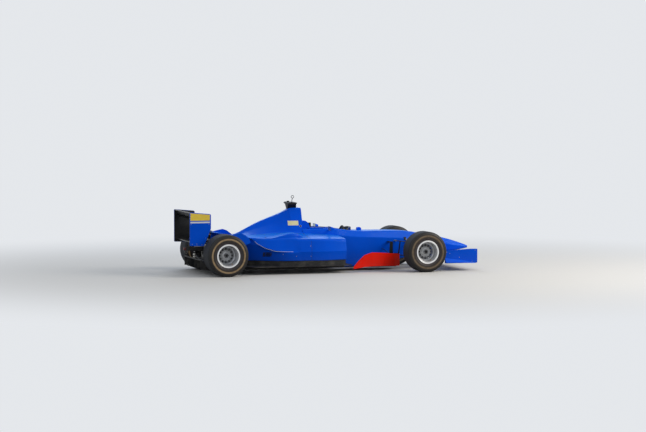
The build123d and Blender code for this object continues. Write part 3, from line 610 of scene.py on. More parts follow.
def make_piece(name, finish, parts, body="chassis", slot=None, crease=38.0, both=False):
    """Builds a piece from rows of a shape's function and its values, finishes it and puts it on its body."""
    shape = bmesh.new()
    for build, *values in parts:
        build(shape, *values)
    if both:
        bmesh.ops.mirror(shape, geom=shape.verts[:] + shape.edges[:] + shape.faces[:], axis="Y",
                         matrix=Matrix.Identity(4), merge_dist=0.0)
    bmesh.ops.remove_doubles(shape, verts=shape.verts[:], dist=JOIN_DISTANCE)
    bmesh.ops.recalc_face_normals(shape, faces=shape.faces[:])
    mesh = bpy.data.meshes.new(name)
    shape.to_mesh(mesh)
    shape.free()
    mesh.shade_smooth()
    mesh.set_sharp_from_angle(angle=math.radians(crease))
    mesh.materials.append(MATERIALS[finish])
    piece = bpy.data.objects.new(name, mesh)
    bpy.context.scene.collection.objects.link(piece)
    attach(piece, body)
    slot = slot or FINISH_SLOTS.get(finish.removesuffix("front").removesuffix("rear"))
    return piece


def colour_setting(name, description, code):
    """A colour that a user may change."""
    return bpy.props.FloatVectorProperty(
        name=name, description=description, subtype="COLOR", size=4, min=0.0, max=1.0, default=linear(code))


def length_setting(name, description, default, low, high):
    """A length that a user may change."""
    return bpy.props.FloatProperty(
        name=name, description=description, default=default, min=low, max=high,
        subtype="DISTANCE", unit="LENGTH")


class CarColours(bpy.types.PropertyGroup):
    """The car's main colours."""
    blue: colour_setting("Body blue", "Colour of the painted bodywork", "034fd6")
    blue_shade: colour_setting("Body blue, darker", "Colour of the paint's darker patches", "0343bd")
    red: colour_setting("Board red", "Colour of the bargeboards", "ee1c0c")
    red_shade: colour_setting("Board red, darker", "Colour of the red paint's darker patches", "c51208")


class CarSizes(bpy.types.PropertyGroup):
    """Sizes of the trim that a user may change."""
    bolt_size: length_setting("Bolt radius", "Radius of a bolt's head", 0.006, 0.002, 0.02)
    fastener_size: length_setting("Fastener radius", "Radius of a quick-release fastener",
                                  0.0065, 0.004, 0.02)
    gap_width: length_setting("Panel gap", "Width of the dark seal between two panels", 0.003, 0.001, 0.01)
    strap_width: length_setting("Harness width", "Width of a shoulder strap", 0.050, 0.03, 0.08)
    gurney_height: length_setting("Gurney height", "Height of the lip on the rear flap's trailing edge",
                                  0.010, 0.0, 0.03)


class CarStage(bpy.types.PropertyGroup):
    """Light levels of the stage."""
    key_power: bpy.props.FloatProperty(
        name="Key lamp", description="Power of the main lamp", default=980.0, min=0.0,
        subtype="POWER", unit="POWER")
    sky: bpy.props.FloatProperty(
        name="Sky strength", description="Strength of the light from all round", default=0.58, min=0.0)
    floor: colour_setting("Floor", "Colour of the pale floor", "cfcfcd")


class CAR_OT_finish_solids(bpy.types.Operator):
    """Makes the finishes and gives every solid its own"""
    bl_idname = "car.finish_solids"
    bl_label = "Finish the solids"

    def execute(self, context):
        make_finishes(context.scene.car_colours)
        for row in FRAME["record"]["subparts"]:
            node = row["node"]
            finish = NODE_FINISHES.get(node, SLOT_FINISHES[row["material_slot"]])
            if finish.endswith("_"):
                finish += "front" if "front" in node else "rear"
            solid = FRAME["nodes"][node]
            if not solid.data.materials:
                solid.data.materials.append(MATERIALS[finish])
            for held in solid.material_slots:
                held.material = MATERIALS[finish]
        return {"FINISHED"}


class CAR_OT_wheel_fittings(bpy.types.Operator):
    """Adds the rims' lips, bolts, drive pegs, nuts, valves and weights, black discs painted as shade in the
    nut's bore and the pegs' holes, and the tyres' moulded rings
    """
    bl_idname = "car.wheel_fittings"
    bl_label = "Wheel fittings"

    def execute(self, context):
        for end, (x, z, _, disc, face, _, _) in AXLES.items():
            for side, sign in SIDES:
                self.fit(end, side, at(x, 0, z), OUT * sign, disc, face)
        return {"FINISHED"}

    def fit(self, end, side, centre, out, disc, face):
        """One wheel's pieces, from its disc's and its rim face's distances out along the axle"""
        tag = "_%s_%s" % (end, side)
        body = "wheel" + tag
        pegs = [around(centre, out, turn, PEG_CIRCLE, disc) for turn in turns(6, 0.5)]
        peg_profile = [(0.0052, -0.005), (0.0052, 0.005), (0.0088, 0.0035), (0.0088, -0.005)]
        make_piece("rim_lip_and_bolts" + tag, "rim_" + end, [
            (ring, round_profile(RIM_LIP, face - 0.001, 0.0036), centre, out, 96),
            (ring, round_profile(RIM_STEP, face - 0.0015, 0.0022), centre, out, 96),
            *[(ring, peg_profile, peg, out, 20) for peg in pegs],
            *[(bolt, around(centre, out, turn, BOLT_CIRCLE, disc + 0.0045), out, 0.0048)
              for turn in turns(12, 0.5)],
        ], body)
        lugs = [around(centre, out, turn, 0.0295, disc + 0.026) for turn in turns(6)]
        collar = [(0.0315, disc + 0.0145), (0.0342, disc + 0.0155), (0.0342, disc + 0.021),
                  (0.0315, disc + 0.022)]
        make_piece("wheel_nut_lugs" + tag, "anodised_dark", [
            *[(bar, lug, lug + out * 0.0115, 0.0052, 0.0044, 10) for lug in lugs],
            (ring, collar, centre, out, 48),
        ], body)
        weight = around(centre, out, 2.2, 0.1475, face - 0.030)
        reach = Vector((0.016, 0.007, 0.0035))
        # The black discs in the nut's bore and at the foot of the drive pegs' holes are painted shade; the
        # block is the balance weight.
        make_piece("hole_painted_shade_and_weights" + tag, "seal", [
            (bar, centre + out * (disc + 0.0201), centre + out * (disc + 0.0215), 0.0188, None, 32),
            *[(bar, peg - out * 0.0035, peg - out * 0.0015, 0.0052, None, 14) for peg in pegs],
            (block, weight - reach, weight + reach, 0.001),
        ], body)
        root = around(centre, out, -1.1, 0.143, face - 0.052)
        tip = around(centre, out, -1.1, 0.124, face - 0.034)
        make_piece("tyre_valve" + tag, "anodised_gold", [
            (bar, root, root.lerp(tip, 0.45), 0.0055, 0.004),
            (bar, root.lerp(tip, 0.4), tip, 0.0042, 0.0038, 10),
        ], body)
        half = TYRE_WIDTHS[end] / 2
        make_piece("tyre_rings" + tag, "tyre_" + end, [
            (ring, round_profile(reach, TYRE_OUTER_Y - half + wall * (half - depth), size, 8),
             centre, out, 96)
            for wall in (1, -1)
            for reach, depth, size in ((0.1930, 0.0098, 0.0030), (0.2030, 0.0038, 0.0016),
                                       (0.2230, 0.0010, 0.0013), (0.2680, 0.0012, 0.0012))
        ], body)


def caliper(shape, centre, out, inner, outer):
    """A caliper behind the axle, over a disc between two distances out along it, with two piston caps."""
    reach = math.radians(52)
    for section in (corners(0.070, 0.134, inner - 0.022, inner - 0.002),
                    corners(0.070, 0.134, outer + 0.002, outer + 0.014),
                    corners(0.1255, 0.134, inner - 0.010, outer + 0.006)):
        ring(shape, section, centre, out, 14, reach)
    turn = Matrix.Rotation(math.pi - reach / 2, 4, out)
    bmesh.ops.rotate(shape, verts=shape.verts[:], cent=centre, matrix=turn)
    for shift in (-0.21, 0.21):
        bent = Matrix.Rotation(math.pi + shift, 4, out)
        spot = centre + bent @ (FORE * 0.098) + out * (inner - 0.021)
        bar(shape, spot, spot - out * 0.008, 0.017, 0.015, 24)


def scoop(shape, sign):
    """A brake's cooling scoop, open in front."""
    block(shape, at(3.130, 0.608, 0.262), at(3.212, 0.640, 0.350), 0.009, 3)
    hollow(shape, max(shape.faces, key=lambda face: face.calc_center_median().x), 0.0025, AFT * 0.05)
    bmesh.ops.scale(shape, verts=shape.verts[:], vec=(1, sign, 1))


class CAR_OT_brakes(bpy.types.Operator):
    """Adds the brake calipers with their pistons, and the front cooling scoops"""
    bl_idname = "car.brakes"
    bl_label = "Brakes"

    def execute(self, context):
        for end, (x, z, _, _, _, inner, outer) in AXLES.items():
            for side, sign in SIDES:
                body = "knuckle_" + side if end == "front" else "chassis"
                make_piece("brake_caliper_%s_%s" % (end, side), "anodised_dark",
                           [(caliper, at(x, 0, z), OUT * sign, inner, outer)], body, "cast_alloy")
        for side, sign in SIDES:
            make_piece("brake_scoop_" + side, "carbon", [(scoop, sign)], "knuckle_" + side)
        return {"FINISHED"}


class CAR_OT_rear_wing_trim(bpy.types.Operator):
    """Adds the rear wing's inner linings, film panels, gurney, bolts and slot plates"""
    bl_idname = "car.rear_wing_trim"
    bl_label = "Rear wing trim"

    def execute(self, context):
        sizes = context.scene.car_sizes
        film_y = WING_PLATE_Y + 0.0001
        lining = [(-0.487, 0.449), (-0.277, 0.443), (-0.171, 0.695), (-0.171, 0.909), (-0.487, 0.937)]
        panel = [(-0.481, 0.817), (-0.185, 0.817), (-0.185, 0.903), (-0.481, 0.929)]
        stripe = corners(-0.481, -0.185, 0.780, 0.802)
        make_piece("wing_plate_linings", "wing",
                   [(side_plate, lining, WING_PLATE_Y - 0.0081, -0.0009, 0.016)], both=True)
        make_piece("wing_plate_panels_yellow", "yellow",
                   [(side_plate, panel, film_y, FILM_THICKNESS, 0.004)], both=True)
        make_piece("wing_plate_stripes_white", "white",
                   [(side_plate, stripe, film_y, FILM_THICKNESS, 0.002)], both=True)
        top = at(-0.4768, 0.4915, 0.930 + sizes.gurney_height)
        make_piece("rear_gurney", "wing", [(block, at(-0.4790, -0.4915, 0.926), top, 0.0004, 1)])
        plate_spots = ((-0.305, 0.466), (-0.385, 0.474), (-0.200, 0.760), (-0.470, 0.760), (-0.455, 0.470),
                       (-0.245, 0.560))
        make_piece("rear_wing_bolts", "steel", [
            *[(bolt, at(x, WING_PLATE_Y, z), OUT, sizes.bolt_size * 0.6) for x, z in plate_spots],
            *[(bolt, at(-0.345, 0.034, z), OUT, sizes.bolt_size) for z in (0.400, 0.440)],
        ], both=True)
        slot_plate = [(-0.300, 0.826), (-0.352, 0.838), (-0.392, 0.878), (-0.350, 0.874)]
        make_piece("flap_slot_plates", "wing",
                   [(side_plate, slot_plate, y - 0.001, 0.002, 0.004) for y in (-0.28, 0.0, 0.28)])
        return {"FINISHED"}


class CAR_OT_front_wing_trim(bpy.types.Operator):
    """Adds the front wing's gurneys, slot plates, bolts, skids and blank film panels"""
    bl_idname = "car.front_wing_trim"
    bl_label = "Front wing trim"

    def execute(self, context):
        small = context.scene.car_sizes.bolt_size * 0.6
        slot_plate = [(3.665, 0.162), (3.735, 0.158), (3.712, 0.192), (3.668, 0.206)]
        plate_spots = ((3.745, 0.148), (3.880, 0.138), (3.520, 0.264), (3.675, 0.203), (3.930, 0.306),
                       (3.470, 0.286))
        pylon_panel = [(3.852, 0.246), (3.912, 0.246), (3.914, 0.274), (3.852, 0.276)]
        for name, finish, parts in (
                ("front_gurneys", "wing",
                 [(block, at(3.4762, 0.152, 0.283), at(3.4784, 0.6915, 0.299), 0.0004, 1)]),
                ("front_slot_plates", "wing",
                 [(side_plate, slot_plate, y, 0.002, 0.004) for y in (0.20, 0.38, 0.56)]),
                ("front_wing_bolts", "steel",
                 [(bolt, at(x, FRONT_PLATE_Y, z), OUT, small) for x, z in plate_spots]),
                ("front_wing_skids", "titanium",
                 [(block, at(3.460, 0.6925, 0.1125), at(3.945, 0.6995, 0.1165), 0.0008, 1)]),
                ("pylon_panels_cream", "pale",
                 [(side_plate, pylon_panel, 0.0501, FILM_THICKNESS, 0.002)]),
                ("flap_adjusters", "steel",
                 [(bar, at(3.62, 0.42, 0.166), at(3.585, 0.42, 0.228), 0.0035),
                  (bar, at(3.605, 0.42, 0.192), at(3.597, 0.42, 0.207), 0.0075, None, 6)])):
            make_piece(name, finish, parts, both=True)
        return {"FINISHED"}


def louvre_blade(shape, trees, height):
    """One leaf of a louvre, which leans out at its lower edge."""
    points = line(beside(0.662, height + 0.013), beside(0.738, height + 0.013), 6)
    lower, upper = OUT * 0.010 + DOWN * 0.004, OUT * -0.006 + UP * 0.008
    sheet(shape, 5, 1, lambda along, off: (
        land(trees, nearest(points, along), -OUT)[0] + (lower if off > 0 else upper)), 0.0016)


def airbox_lining(shape):
    """The airbox's throat, which narrows from its mouth to a closed end."""
    loops = []
    for x, half, low, high in ((1.338, 0.079, 0.800, 0.952), (1.300, 0.074, 0.806, 0.946),
                               (1.220, 0.062, 0.812, 0.925), (1.120, 0.050, 0.800, 0.880)):
        points = [at(x, -half * 1.25, low), at(x, half * 1.25, low), at(x, half, high), at(x, -half, high)]
        verts = [shape.verts.new(point) for point in points]
        loops.append([shape.edges.new(pair) for pair in zip(verts, verts[1:] + verts[:1])])
    for first, second in zip(loops, loops[1:]):
        bmesh.ops.bridge_loops(shape, edges=first + second)
    bmesh.ops.holes_fill(shape, edges=loops[-1])
    bmesh.ops.solidify(shape, geom=shape.faces[:], thickness=0.002)


class CAR_OT_body_trim(bpy.types.Operator):
    """Adds the panel gaps, fasteners, louvres with dark strips painted as shade round their slots, blank
    panels, white edge beads painted as the highlight on the pods' swept edges, sockets, seals and airbox
    lining
    """
    bl_idname = "car.body_trim"
    bl_label = "Bodywork trim"

    def execute(self, context):
        sizes = context.scene.car_sizes
        gap = sizes.gap_width
        covers = surfaces("engine_cover", "sidepod_left", "sidepod_lower_left")
        tub = surfaces("monocoque", "nose_cone", "engine_cover")
        make_piece("panel_gaps", "seal", [
            (laid, covers, line(above(0.262, 0.2502), above(1.334, 0.2502), 60), gap, OUT, DOWN),
            (laid, covers, line(above(1.3365, 0.235), above(1.3365, 0.630), 24), gap, FORE, DOWN),
            (laid, covers, line(beside(1.3365, 0.500), beside(1.3365, 0.212), 24), gap, FORE, -OUT),
            (laid, tub, line(above(3.260, 0.0), above(3.260, 0.100), 10), gap, FORE, DOWN),
            (laid, tub, line(beside(3.260, 0.520), beside(3.260, 0.245), 20), gap, FORE, -OUT),
            (laid, tub, line(above(2.44, 0.110), above(2.94, 0.092), 24), gap * 0.8, OUT, DOWN),
            (laid, tub, line(above(2.44, 0.0), above(2.44, 0.110), 8), gap * 0.8, FORE, DOWN),
            (laid, tub, line(above(2.94, 0.0), above(2.94, 0.092), 8), gap * 0.8, FORE, DOWN),
        ], both=True)
        held = [(covers, above(x, 0.264), DOWN) for x in (0.46, 0.72, 0.98, 1.24)]
        held += [(covers, above(1.322, y), DOWN) for y in (0.33, 0.47, 0.58)]
        held += [(tub, above(x, y), DOWN) for x, y in ((3.246, 0.06), (2.50, 0.1), (2.70, 0.1), (2.88, 0.1))]
        held += [(covers, beside(x, z), -OUT)
                 for x, z in ((1.322, 0.42), (1.322, 0.27), (0.90, 0.30), (1.10, 0.27))]
        held += [(tub, beside(3.246, z), -OUT) for z in (0.46, 0.32)]
        make_piece("panel_fasteners", "steel",
                   [(quarter_turn, *land(*spot), sizes.fastener_size) for spot in held], both=True)
        louvres = (0.268, 0.290, 0.312)
        # The dark strips laid above and in front of each louvre slot are painted shade of the recesses. They
        # make the slots read larger and darker.
        make_piece("louvre_painted_shade_strips", "seal", [
            (laid, covers, line(beside(0.626, z + rise), beside(end, z + rise), count), width, UP, -OUT,
             0.0012)
            for z in louvres
            for end, rise, count, width in ((0.746, 0.014, 10, 0.006), (0.656, 0.004, 4, 0.012))
        ], both=True)
        make_piece("louvre_blades", "carbon", [(louvre_blade, covers, z) for z in louvres], both=True)
        make_piece("hoop_panels_cream", "pale", [
            (laid, covers, line(beside(1.118, 0.7365), beside(1.279, 0.7365), 11), 0.069, UP, -OUT,
             FILM_THICKNESS, 5),
        ], both=True)
        pod = surfaces("sidepod_left")
        edge = [(0.500, 0.494), (0.532, 0.460), (0.580, 0.428), (0.629, 0.399), (0.700, 0.375),
                (0.774, 0.353), (0.850, 0.347), (0.920, 0.343), (1.050, 0.340)]
        # The thin white bead along the pods' swept edge is a painted highlight. It stands in for the light
        # that the edge catches.
        make_piece("pod_edge_painted_highlight", "white",
                   [(tube, [land(pod, beside(x, z), -OUT)[0] for x, z in edge], 0.0022, 8)], both=True)
        hoop, facing = land(covers, beside(1.309, 0.690), -OUT)
        flank = land(tub, beside(2.977, 0.470), -OUT)[0]
        make_piece("body_sockets", "seal", [
            (bar, hoop - facing * 0.004, hoop + facing * 0.0012, 0.0125, None, 28),
            (block, flank - Vector((0.021, 0.006, 0.023)), flank + Vector((0.021, 0.003, 0.023)), 0.004),
        ], both=True)
        make_piece("hoop_socket_rims", "steel",
                   [(ring, round_profile(0.0135, 0.0, 0.0022, 8), hoop, facing, 28)], both=True)
        make_piece("airbox_throat", "carbon", [(airbox_lining,)])
        make_piece("kerb_seals", "seal", [
            (laid, surfaces("floor"), line(beside(0.44, 0.196), beside(1.86, 0.196), 60), 0.0035, UP, -OUT,
             0.001),
        ], both=True)
        return {"FINISHED"}


def pleated_boot(shape, centre, out, start, end, wide, narrow):
    """A boot round a shaft, with pleats from its wide end to its narrow one."""
    profile = [(0.021, start)]
    for i in range(9):
        pleat = 0.004 if i % 2 else -0.002
        profile.append((wide + (narrow - wide) * i / 8 + pleat, start + (end - start) * i / 8))
    ring(shape, profile + [(0.021, end)], centre, out, 40)


def lamp_bezel(shape):
    """The rain lamp's frame, raised round its cells."""
    block(shape, at(-0.4605, -0.034, 0.344), at(-0.452, 0.034, 0.394), 0.002)
    hollow(shape, min(shape.faces, key=lambda face: face.calc_center_median().x), 0.0045, FORE * 0.0016)


class CAR_OT_engine_bay(bpy.types.Operator):
    """Adds the shaft boots, gearbox ribs and bolts, hoses, exhaust rims, rain lamp, tow ring and bottle"""
    bl_idname = "car.engine_bay"
    bl_label = "Engine bay and tail"

    def execute(self, context):
        hub = at(0, 0, AXLES["rear"][1])
        for side, sign in SIDES:
            out, body = OUT * sign, "wheel_rear_" + side
            make_piece("shaft_boots_" + side, "boot", [
                (pleated_boot, hub, out, 0.212, 0.272, 0.047, 0.025),
                (pleated_boot, hub, out, 0.443, 0.383, 0.043, 0.025),
            ], body)
            make_piece("shaft_joint_bolts_" + side, "steel", [
                (bolt, around(hub, out, turn, reach, off), out * way)
                for reach, off, way in ((0.0385, 0.128, -1), (0.0345, 0.532, 1)) for turn in turns(6)
            ], body)
        self.gearbox()
        self.tail()
        return {"FINISHED"}

    def gearbox(self):
        """Two ribs round the gearbox, its bolts, hoses and starter socket, and the exhausts' rims"""
        # The ribs stand this far out of the gearbox
        proud = 0.007
        ribs, bolts = [], []
        for x, low, high, half_low, half_high in ((0.055, 0.133, 0.4257, 0.098, 0.1045),
                                                  (0.215, 0.114, 0.4155, 0.121, 0.129)):
            base, top = half_low + proud, half_high + proud
            points = [at(x, -base, low - proud), at(x, base, low - proud),
                      at(x, top, high + proud), at(x, -top, high + proud)]
            ribs.append((plate, points, FORE * 0.010, 0.030))
            for y in (0.4 * half_high, half_high - 0.02):
                bolts += [(bolt, at(x, y * way, high - 0.004), AFT) for way in (-1, 1)]
            for z in (0.20, 0.27, 0.34):
                bolts += [(bolt, at(x, half_high * 1.02 * way, z), AFT) for way in (-1, 1)]
        make_piece("gearbox_ribs", "cast", ribs)
        starter = at(-0.170, 0, 0.300)
        for turn in turns(8, 0.5):
            spot = at(-0.170, 0.044 * math.cos(turn), 0.276 + 0.040 * math.sin(turn))
            if (spot - starter).length > 0.024:
                bolts.append((bolt, spot, AFT))
        make_piece("gearbox_bolts", "steel", bolts)
        brake_line = [(0.105, 0.100, 0.400), (0.070, 0.240, 0.418), (0.020, 0.430, 0.432),
                      (-0.068, 0.590, 0.405), (-0.098, 0.6355, 0.335)]
        oil_line = [(0.300, 0.120, 0.420), (0.240, 0.090, 0.455), (0.120, 0.020, 0.452),
                    (0.020, 0.045, 0.440), (-0.060, 0.050, 0.405)]
        make_piece("brake_and_oil_hoses", "boot", [
            (tube, [at(*spot) for spot in brake_line], 0.0036),
            (tube, [at(*spot) for spot in oil_line], 0.0065),
        ], both=True)
        socket = [(0.0165, 0.0), (0.0165, 0.006), (0.024, 0.006), (0.026, 0.003), (0.026, 0.0)]
        make_piece("starter_socket_ring", "anodised_dark", [(ring, socket, starter, AFT, 40)])
        lip = [(0.0285, -0.006), (0.0335, -0.006), (0.0345, 0.001), (0.0325, 0.0035), (0.0285, 0.002)]
        run = Vector((-0.200, 0, -0.060)).normalized()
        make_piece("exhaust_rims", "exhaust", [(ring, lip, at(0.726, 0.480, 0.472), run, 40)], both=True)

    def tail(self):
        """The rain lamp's bezel and cells, the tow ring and the breather bottle"""
        make_piece("rain_lamp_bezel", "anodised_dark", [(lamp_bezel,)])
        make_piece("rain_lamp_cells", "lens", [
            (bead, at(-0.4592, -0.0225 + 0.009 * i, 0.3555 + 0.009 * j), 0.0034)
            for i in range(6) for j in range(4)
        ])
        make_piece("tow_ring", "titanium", [
            (ring, round_profile(0.020, 0.0, 0.0042), at(-0.425, 0, 0.322), OUT, 36),
            (bar, at(-0.405, 0, 0.346), at(-0.410, 0, 0.330), 0.007, 0.006),
        ])
        base = at(-0.300, 0, 0)
        bottle = [(0.0, 0.235), (0.015, 0.235), (0.019, 0.240), (0.019, 0.288), (0.015, 0.296),
                  (0.009, 0.299), (0.009, 0.304), (0.0, 0.304)]
        cap = [(0.0, 0.303), (0.0115, 0.303), (0.0115, 0.313), (0.0, 0.315)]
        make_piece("breather_bottle", "bottle", [(ring, bottle, base, UP, 32, math.tau, False)])
        make_piece("breather_strap_and_cap", "boot", [
            (ring, corners(0.0190, 0.0212, 0.262, 0.272), base, UP, 32),
            (ring, cap, base, UP, 24, math.tau, False),
            (bar, at(-0.280, 0, 0.267), at(-0.268, 0, 0.345), 0.003),
        ])


def pad_blanks(shape):
    """The head pads before they swell: one bent round the back of the head, and one along each side."""
    centre = at(1.590, 0, 0)
    ring(shape, corners(0.124, 0.160, 0.630, 0.738), centre, UP, 28, math.radians(96))
    turn = Matrix.Rotation(math.radians(132), 4, UP)
    bmesh.ops.rotate(shape, verts=shape.verts[:], cent=centre, matrix=turn)
    for near, far in ((0.110, 0.143), (-0.143, -0.110)):
        block(shape, at(1.505, near, 0.612), at(1.775, far, 0.656))
    rounded(shape, [edge for edge in shape.edges if edge.calc_face_angle(0) > 0.6], 0.008, 3)


def quilt(shape, start, end, half):
    """A thin padded sheet on the seat, as wide as twice its half, with sewn channels down it."""
    run = end - start
    facing = run.cross(OUT).normalized()

    def place(along, off):
        t = (along + 1) / 2
        crown = math.sqrt(max(min(1.0, 5 * (1 - abs(off)), 10 * min(t, 1 - t)), 0.0))
        channel = abs(math.sin(math.pi * 2.5 * (off + 1)))
        rise = 0.003 + crown * (0.004 + 0.008 * math.sqrt(channel))
        return start + run * t + OUT * half * off + facing * rise
    sheet(shape, 30, 50, place, 0.003)


def grip(shape, hub, axis, sign):
    """The moulded grip on one side of the steering wheel's rim."""
    older = set(shape.verts)
    ring(shape, round_profile(0.112, 0.0, 0.0148, 14), hub, axis, 22, math.radians(84))
    fresh = [vert for vert in shape.verts if vert not in older]
    middle = Matrix.Rotation(math.radians(42), 4, axis) @ (fresh[0].co - hub).normalized()
    turn = middle.rotation_difference(OUT * sign).to_matrix().to_4x4()
    bmesh.ops.rotate(shape, verts=fresh, cent=hub, matrix=turn)


class CAR_OT_cockpit(bpy.types.Operator):
    """Adds the head pads, seat liner, harness, steering wheel fittings, mirror glass and camera lenses"""
    bl_idname = "car.cockpit"
    bl_label = "Cockpit"

    def execute(self, context):
        pads = make_piece("head_pads", "knit", [(pad_blanks,)], crease=80.0)
        swell(pads, voxel=0.006, pressure=4.0, limit=0.005)
        smooth = pads.modifiers.new("smooth", "SUBSURF")
        smooth.levels = smooth.render_levels = 1
        liner = make_piece("seat_liner", "knit", [
            (quilt, at(1.434, 0, 0.530), at(1.528, 0, 0.215), 0.128),
            (quilt, at(1.560, 0, 0.1935), at(1.845, 0, 0.160), 0.120),
        ], crease=70.0)
        self.harness(context.scene.car_sizes.strap_width)
        self.steering()
        self.mirrors_and_camera()
        return {"FINISHED"}

    def harness(self, width):
        """Shoulder, lap and leg straps lying on the seat, joined at a round buckle"""
        shoulder = [(1.366, 0.075, 0.592), (1.400, 0.073, 0.584), (1.444, 0.070, 0.548),
                    (1.478, 0.066, 0.450), (1.512, 0.060, 0.330), (1.556, 0.050, 0.240),
                    (1.614, 0.022, 0.2215)]
        lap = [(1.500, 0.146, 0.230), (1.540, 0.120, 0.224), (1.590, 0.070, 0.2225), (1.624, 0.022, 0.2215)]
        leg = [(1.800, 0.030, 0.186), (1.730, 0.028, 0.197), (1.664, 0.012, 0.213)]
        make_piece("harness_straps", "webbing", [
            (strap, [at(x, y * sign, z) for x, y, z in points], wide, across)
            for points, wide, across in (
                (shoulder, width, OUT), (lap, 0.045, FORE * 0.9 + UP * 0.1), (leg, 0.038, OUT))
            for sign in (1, -1)
        ])
        reach = Vector((0.009, 0.029, 0.004))
        spots = [at(x, y * sign, z)
                 for x, y, z in ((1.488, 0.064, 0.415), (1.548, 0.112, 0.2255)) for sign in (1, -1)]
        make_piece("harness_buckle", "anodised_dark", [
            (bar, at(1.636, 0, 0.2155), at(1.6375, 0, 0.2345), 0.029, 0.026, 40),
            *[(block, spot - reach, spot + reach, 0.0015) for spot in spots],
        ])
        make_piece("buckle_lever", "anodised_red", [
            (bar, at(1.6376, 0, 0.2345), at(1.638, 0, 0.2385), 0.017, 0.015, 32),
            (block, at(1.619, -0.0035, 0.2375), at(1.657, 0.0035, 0.2425), 0.001),
        ])

    def steering(self):
        """Grips, centre plate, display, buttons, knobs and paddles on the steering wheel"""
        hub = at(2.010, 0, 0.559)
        back = Vector((-1.020, 0, 0.149)).normalized()
        up = OUT.cross(back)

        def on_wheel(across, rise, off):
            return hub + OUT * across + up * rise + back * off

        def face_plate(outline, off, thickness, corner):
            return plate, [on_wheel(a, b, off) for a, b in outline], back * thickness, corner

        body = "steering_wheel"
        centre = [(-0.088, -0.030), (-0.060, -0.056), (0.060, -0.056), (0.088, -0.030), (0.088, 0.034),
                  (0.058, 0.058), (-0.058, 0.058), (-0.088, 0.034)]
        paddle = [(0.030, -0.014), (0.084, -0.036), (0.094, 0.0), (0.084, 0.036), (0.030, 0.014)]
        make_piece("wheel_centre_plate", "carbon", [
            face_plate(centre, 0.012, 0.007, 0.010),
            *[face_plate([(a * sign, b) for a, b in paddle], -0.020, 0.003, 0.006) for sign in (1, -1)],
        ], body)
        make_piece("wheel_grips", "boot", [(grip, hub, back, sign) for sign in (1, -1)], body)
        make_piece("wheel_display", "display",
                   [face_plate(corners(-0.034, 0.034, 0.014, 0.044), 0.0192, 0.0022, 0.003)], body)
        for name, finish, spots in (
                ("wheel_buttons_red", "anodised_red", ((-0.070, 0.022), (0.070, -0.002), (-0.050, -0.044))),
                ("wheel_buttons_yellow", "yellow", ((0.070, 0.022), (-0.070, -0.002))),
                ("wheel_buttons_white", "white", ((0.050, -0.044), (-0.018, -0.044), (0.018, -0.044)))):
            make_piece(name, finish, [
                (bar, on_wheel(a, b, 0.0185), on_wheel(a, b, 0.0245), 0.0065, 0.0055, 20) for a, b in spots
            ], body)
        knobs = []
        for a in (-0.036, 0.0, 0.036):
            knobs += [(bar, on_wheel(a, -0.012, 0.0185), on_wheel(a, -0.012, 0.030), 0.0105, 0.009, 24),
                      (bar, on_wheel(a, -0.010, 0.0305), on_wheel(a, -0.003, 0.0305), 0.0014, None, 6)]
        make_piece("wheel_knobs", "anodised_dark", knobs, body)

    def mirrors_and_camera(self):
        """The mirrors' glass and frames, the cockpit's edge trim, and the camera's lenses and bolts"""
        make_piece("mirror_glass", "glass",
                   [(block, at(1.7008, 0.339, 0.628), at(1.7028, 0.461, 0.686), 0.0009, 1)], both=True)
        x, y, z = 1.7012, 0.400, 0.657
        make_piece("mirror_frames", "blue", [
            (block, at(x - 0.002, y + left, z + low), at(x + 0.002, y + right, z + high), 0.0008, 1)
            for left, right, low, high in (
                (-0.066, 0.066, 0.0295, 0.034), (-0.066, 0.066, -0.034, -0.0295),
                (-0.066, -0.0615, -0.0295, 0.0295), (0.0615, 0.066, -0.0295, 0.0295))
        ], both=True)
        rim = line(at(1.815, 0.181, 1.2), at(2.03, 0.170, 1.2), 16)
        make_piece("cockpit_edge_trim", "seal",
                   [(laid, surfaces("monocoque"), rim, 0.012, OUT, DOWN, 0.003)], both=True)
        make_piece("camera_lenses", "display", [
            *[(bar, at(1.2705, y, 1.0335), at(1.2755, y, 1.0335), 0.010, 0.0085, 24)
              for y in (0.072, -0.072)],
            (bar, at(1.1478, 0, 1.053), at(1.1455, 0, 1.053), 0.006, None, 20),
        ])
        make_piece("camera_bolts", "steel", [
            (bolt, at(x, y, 1.0505), UP, 0.0035) for x in (1.165, 1.215, 1.250) for y in (-0.030, 0.030)])


def swell(pads, voxel, pressure, limit, frames=20):
    """Fills pads as stuffing does: an even mesh, a short run of Cloth under pressure, and a limit to it."""
    scene, layer = bpy.context.scene, bpy.context.view_layer
    remesh = pads.modifiers.new("even_mesh", "REMESH")
    remesh.mode = "VOXEL"
    remesh.voxel_size = voxel
    apply_modifiers(pads)
    before = [vert.co.copy() for vert in pads.data.vertices]
    cloth = pads.modifiers.new("stuffing", "CLOTH")
    cloth.settings.use_pressure = True
    cloth.settings.uniform_pressure_force = pressure
    cloth.settings.effector_weights.gravity = 0.0
    for frame in range(1, frames + 1):
        scene.frame_set(frame)
        layer.update()
    apply_modifiers(pads)
    for vert, start in zip(pads.data.vertices, before):
        step = vert.co - start
        if step.length > limit:
            vert.co = start + step.normalized() * limit
    scene.frame_set(1)
    pads.data.shade_smooth()


def apply_modifiers(piece):
    """Writes a piece's modifiers into its mesh."""
    shown = piece.evaluated_get(bpy.context.evaluated_depsgraph_get())
    mesh = bpy.data.meshes.new_from_object(shown)
    mesh.name = piece.data.name
    piece.modifiers.clear()
    piece.data = mesh


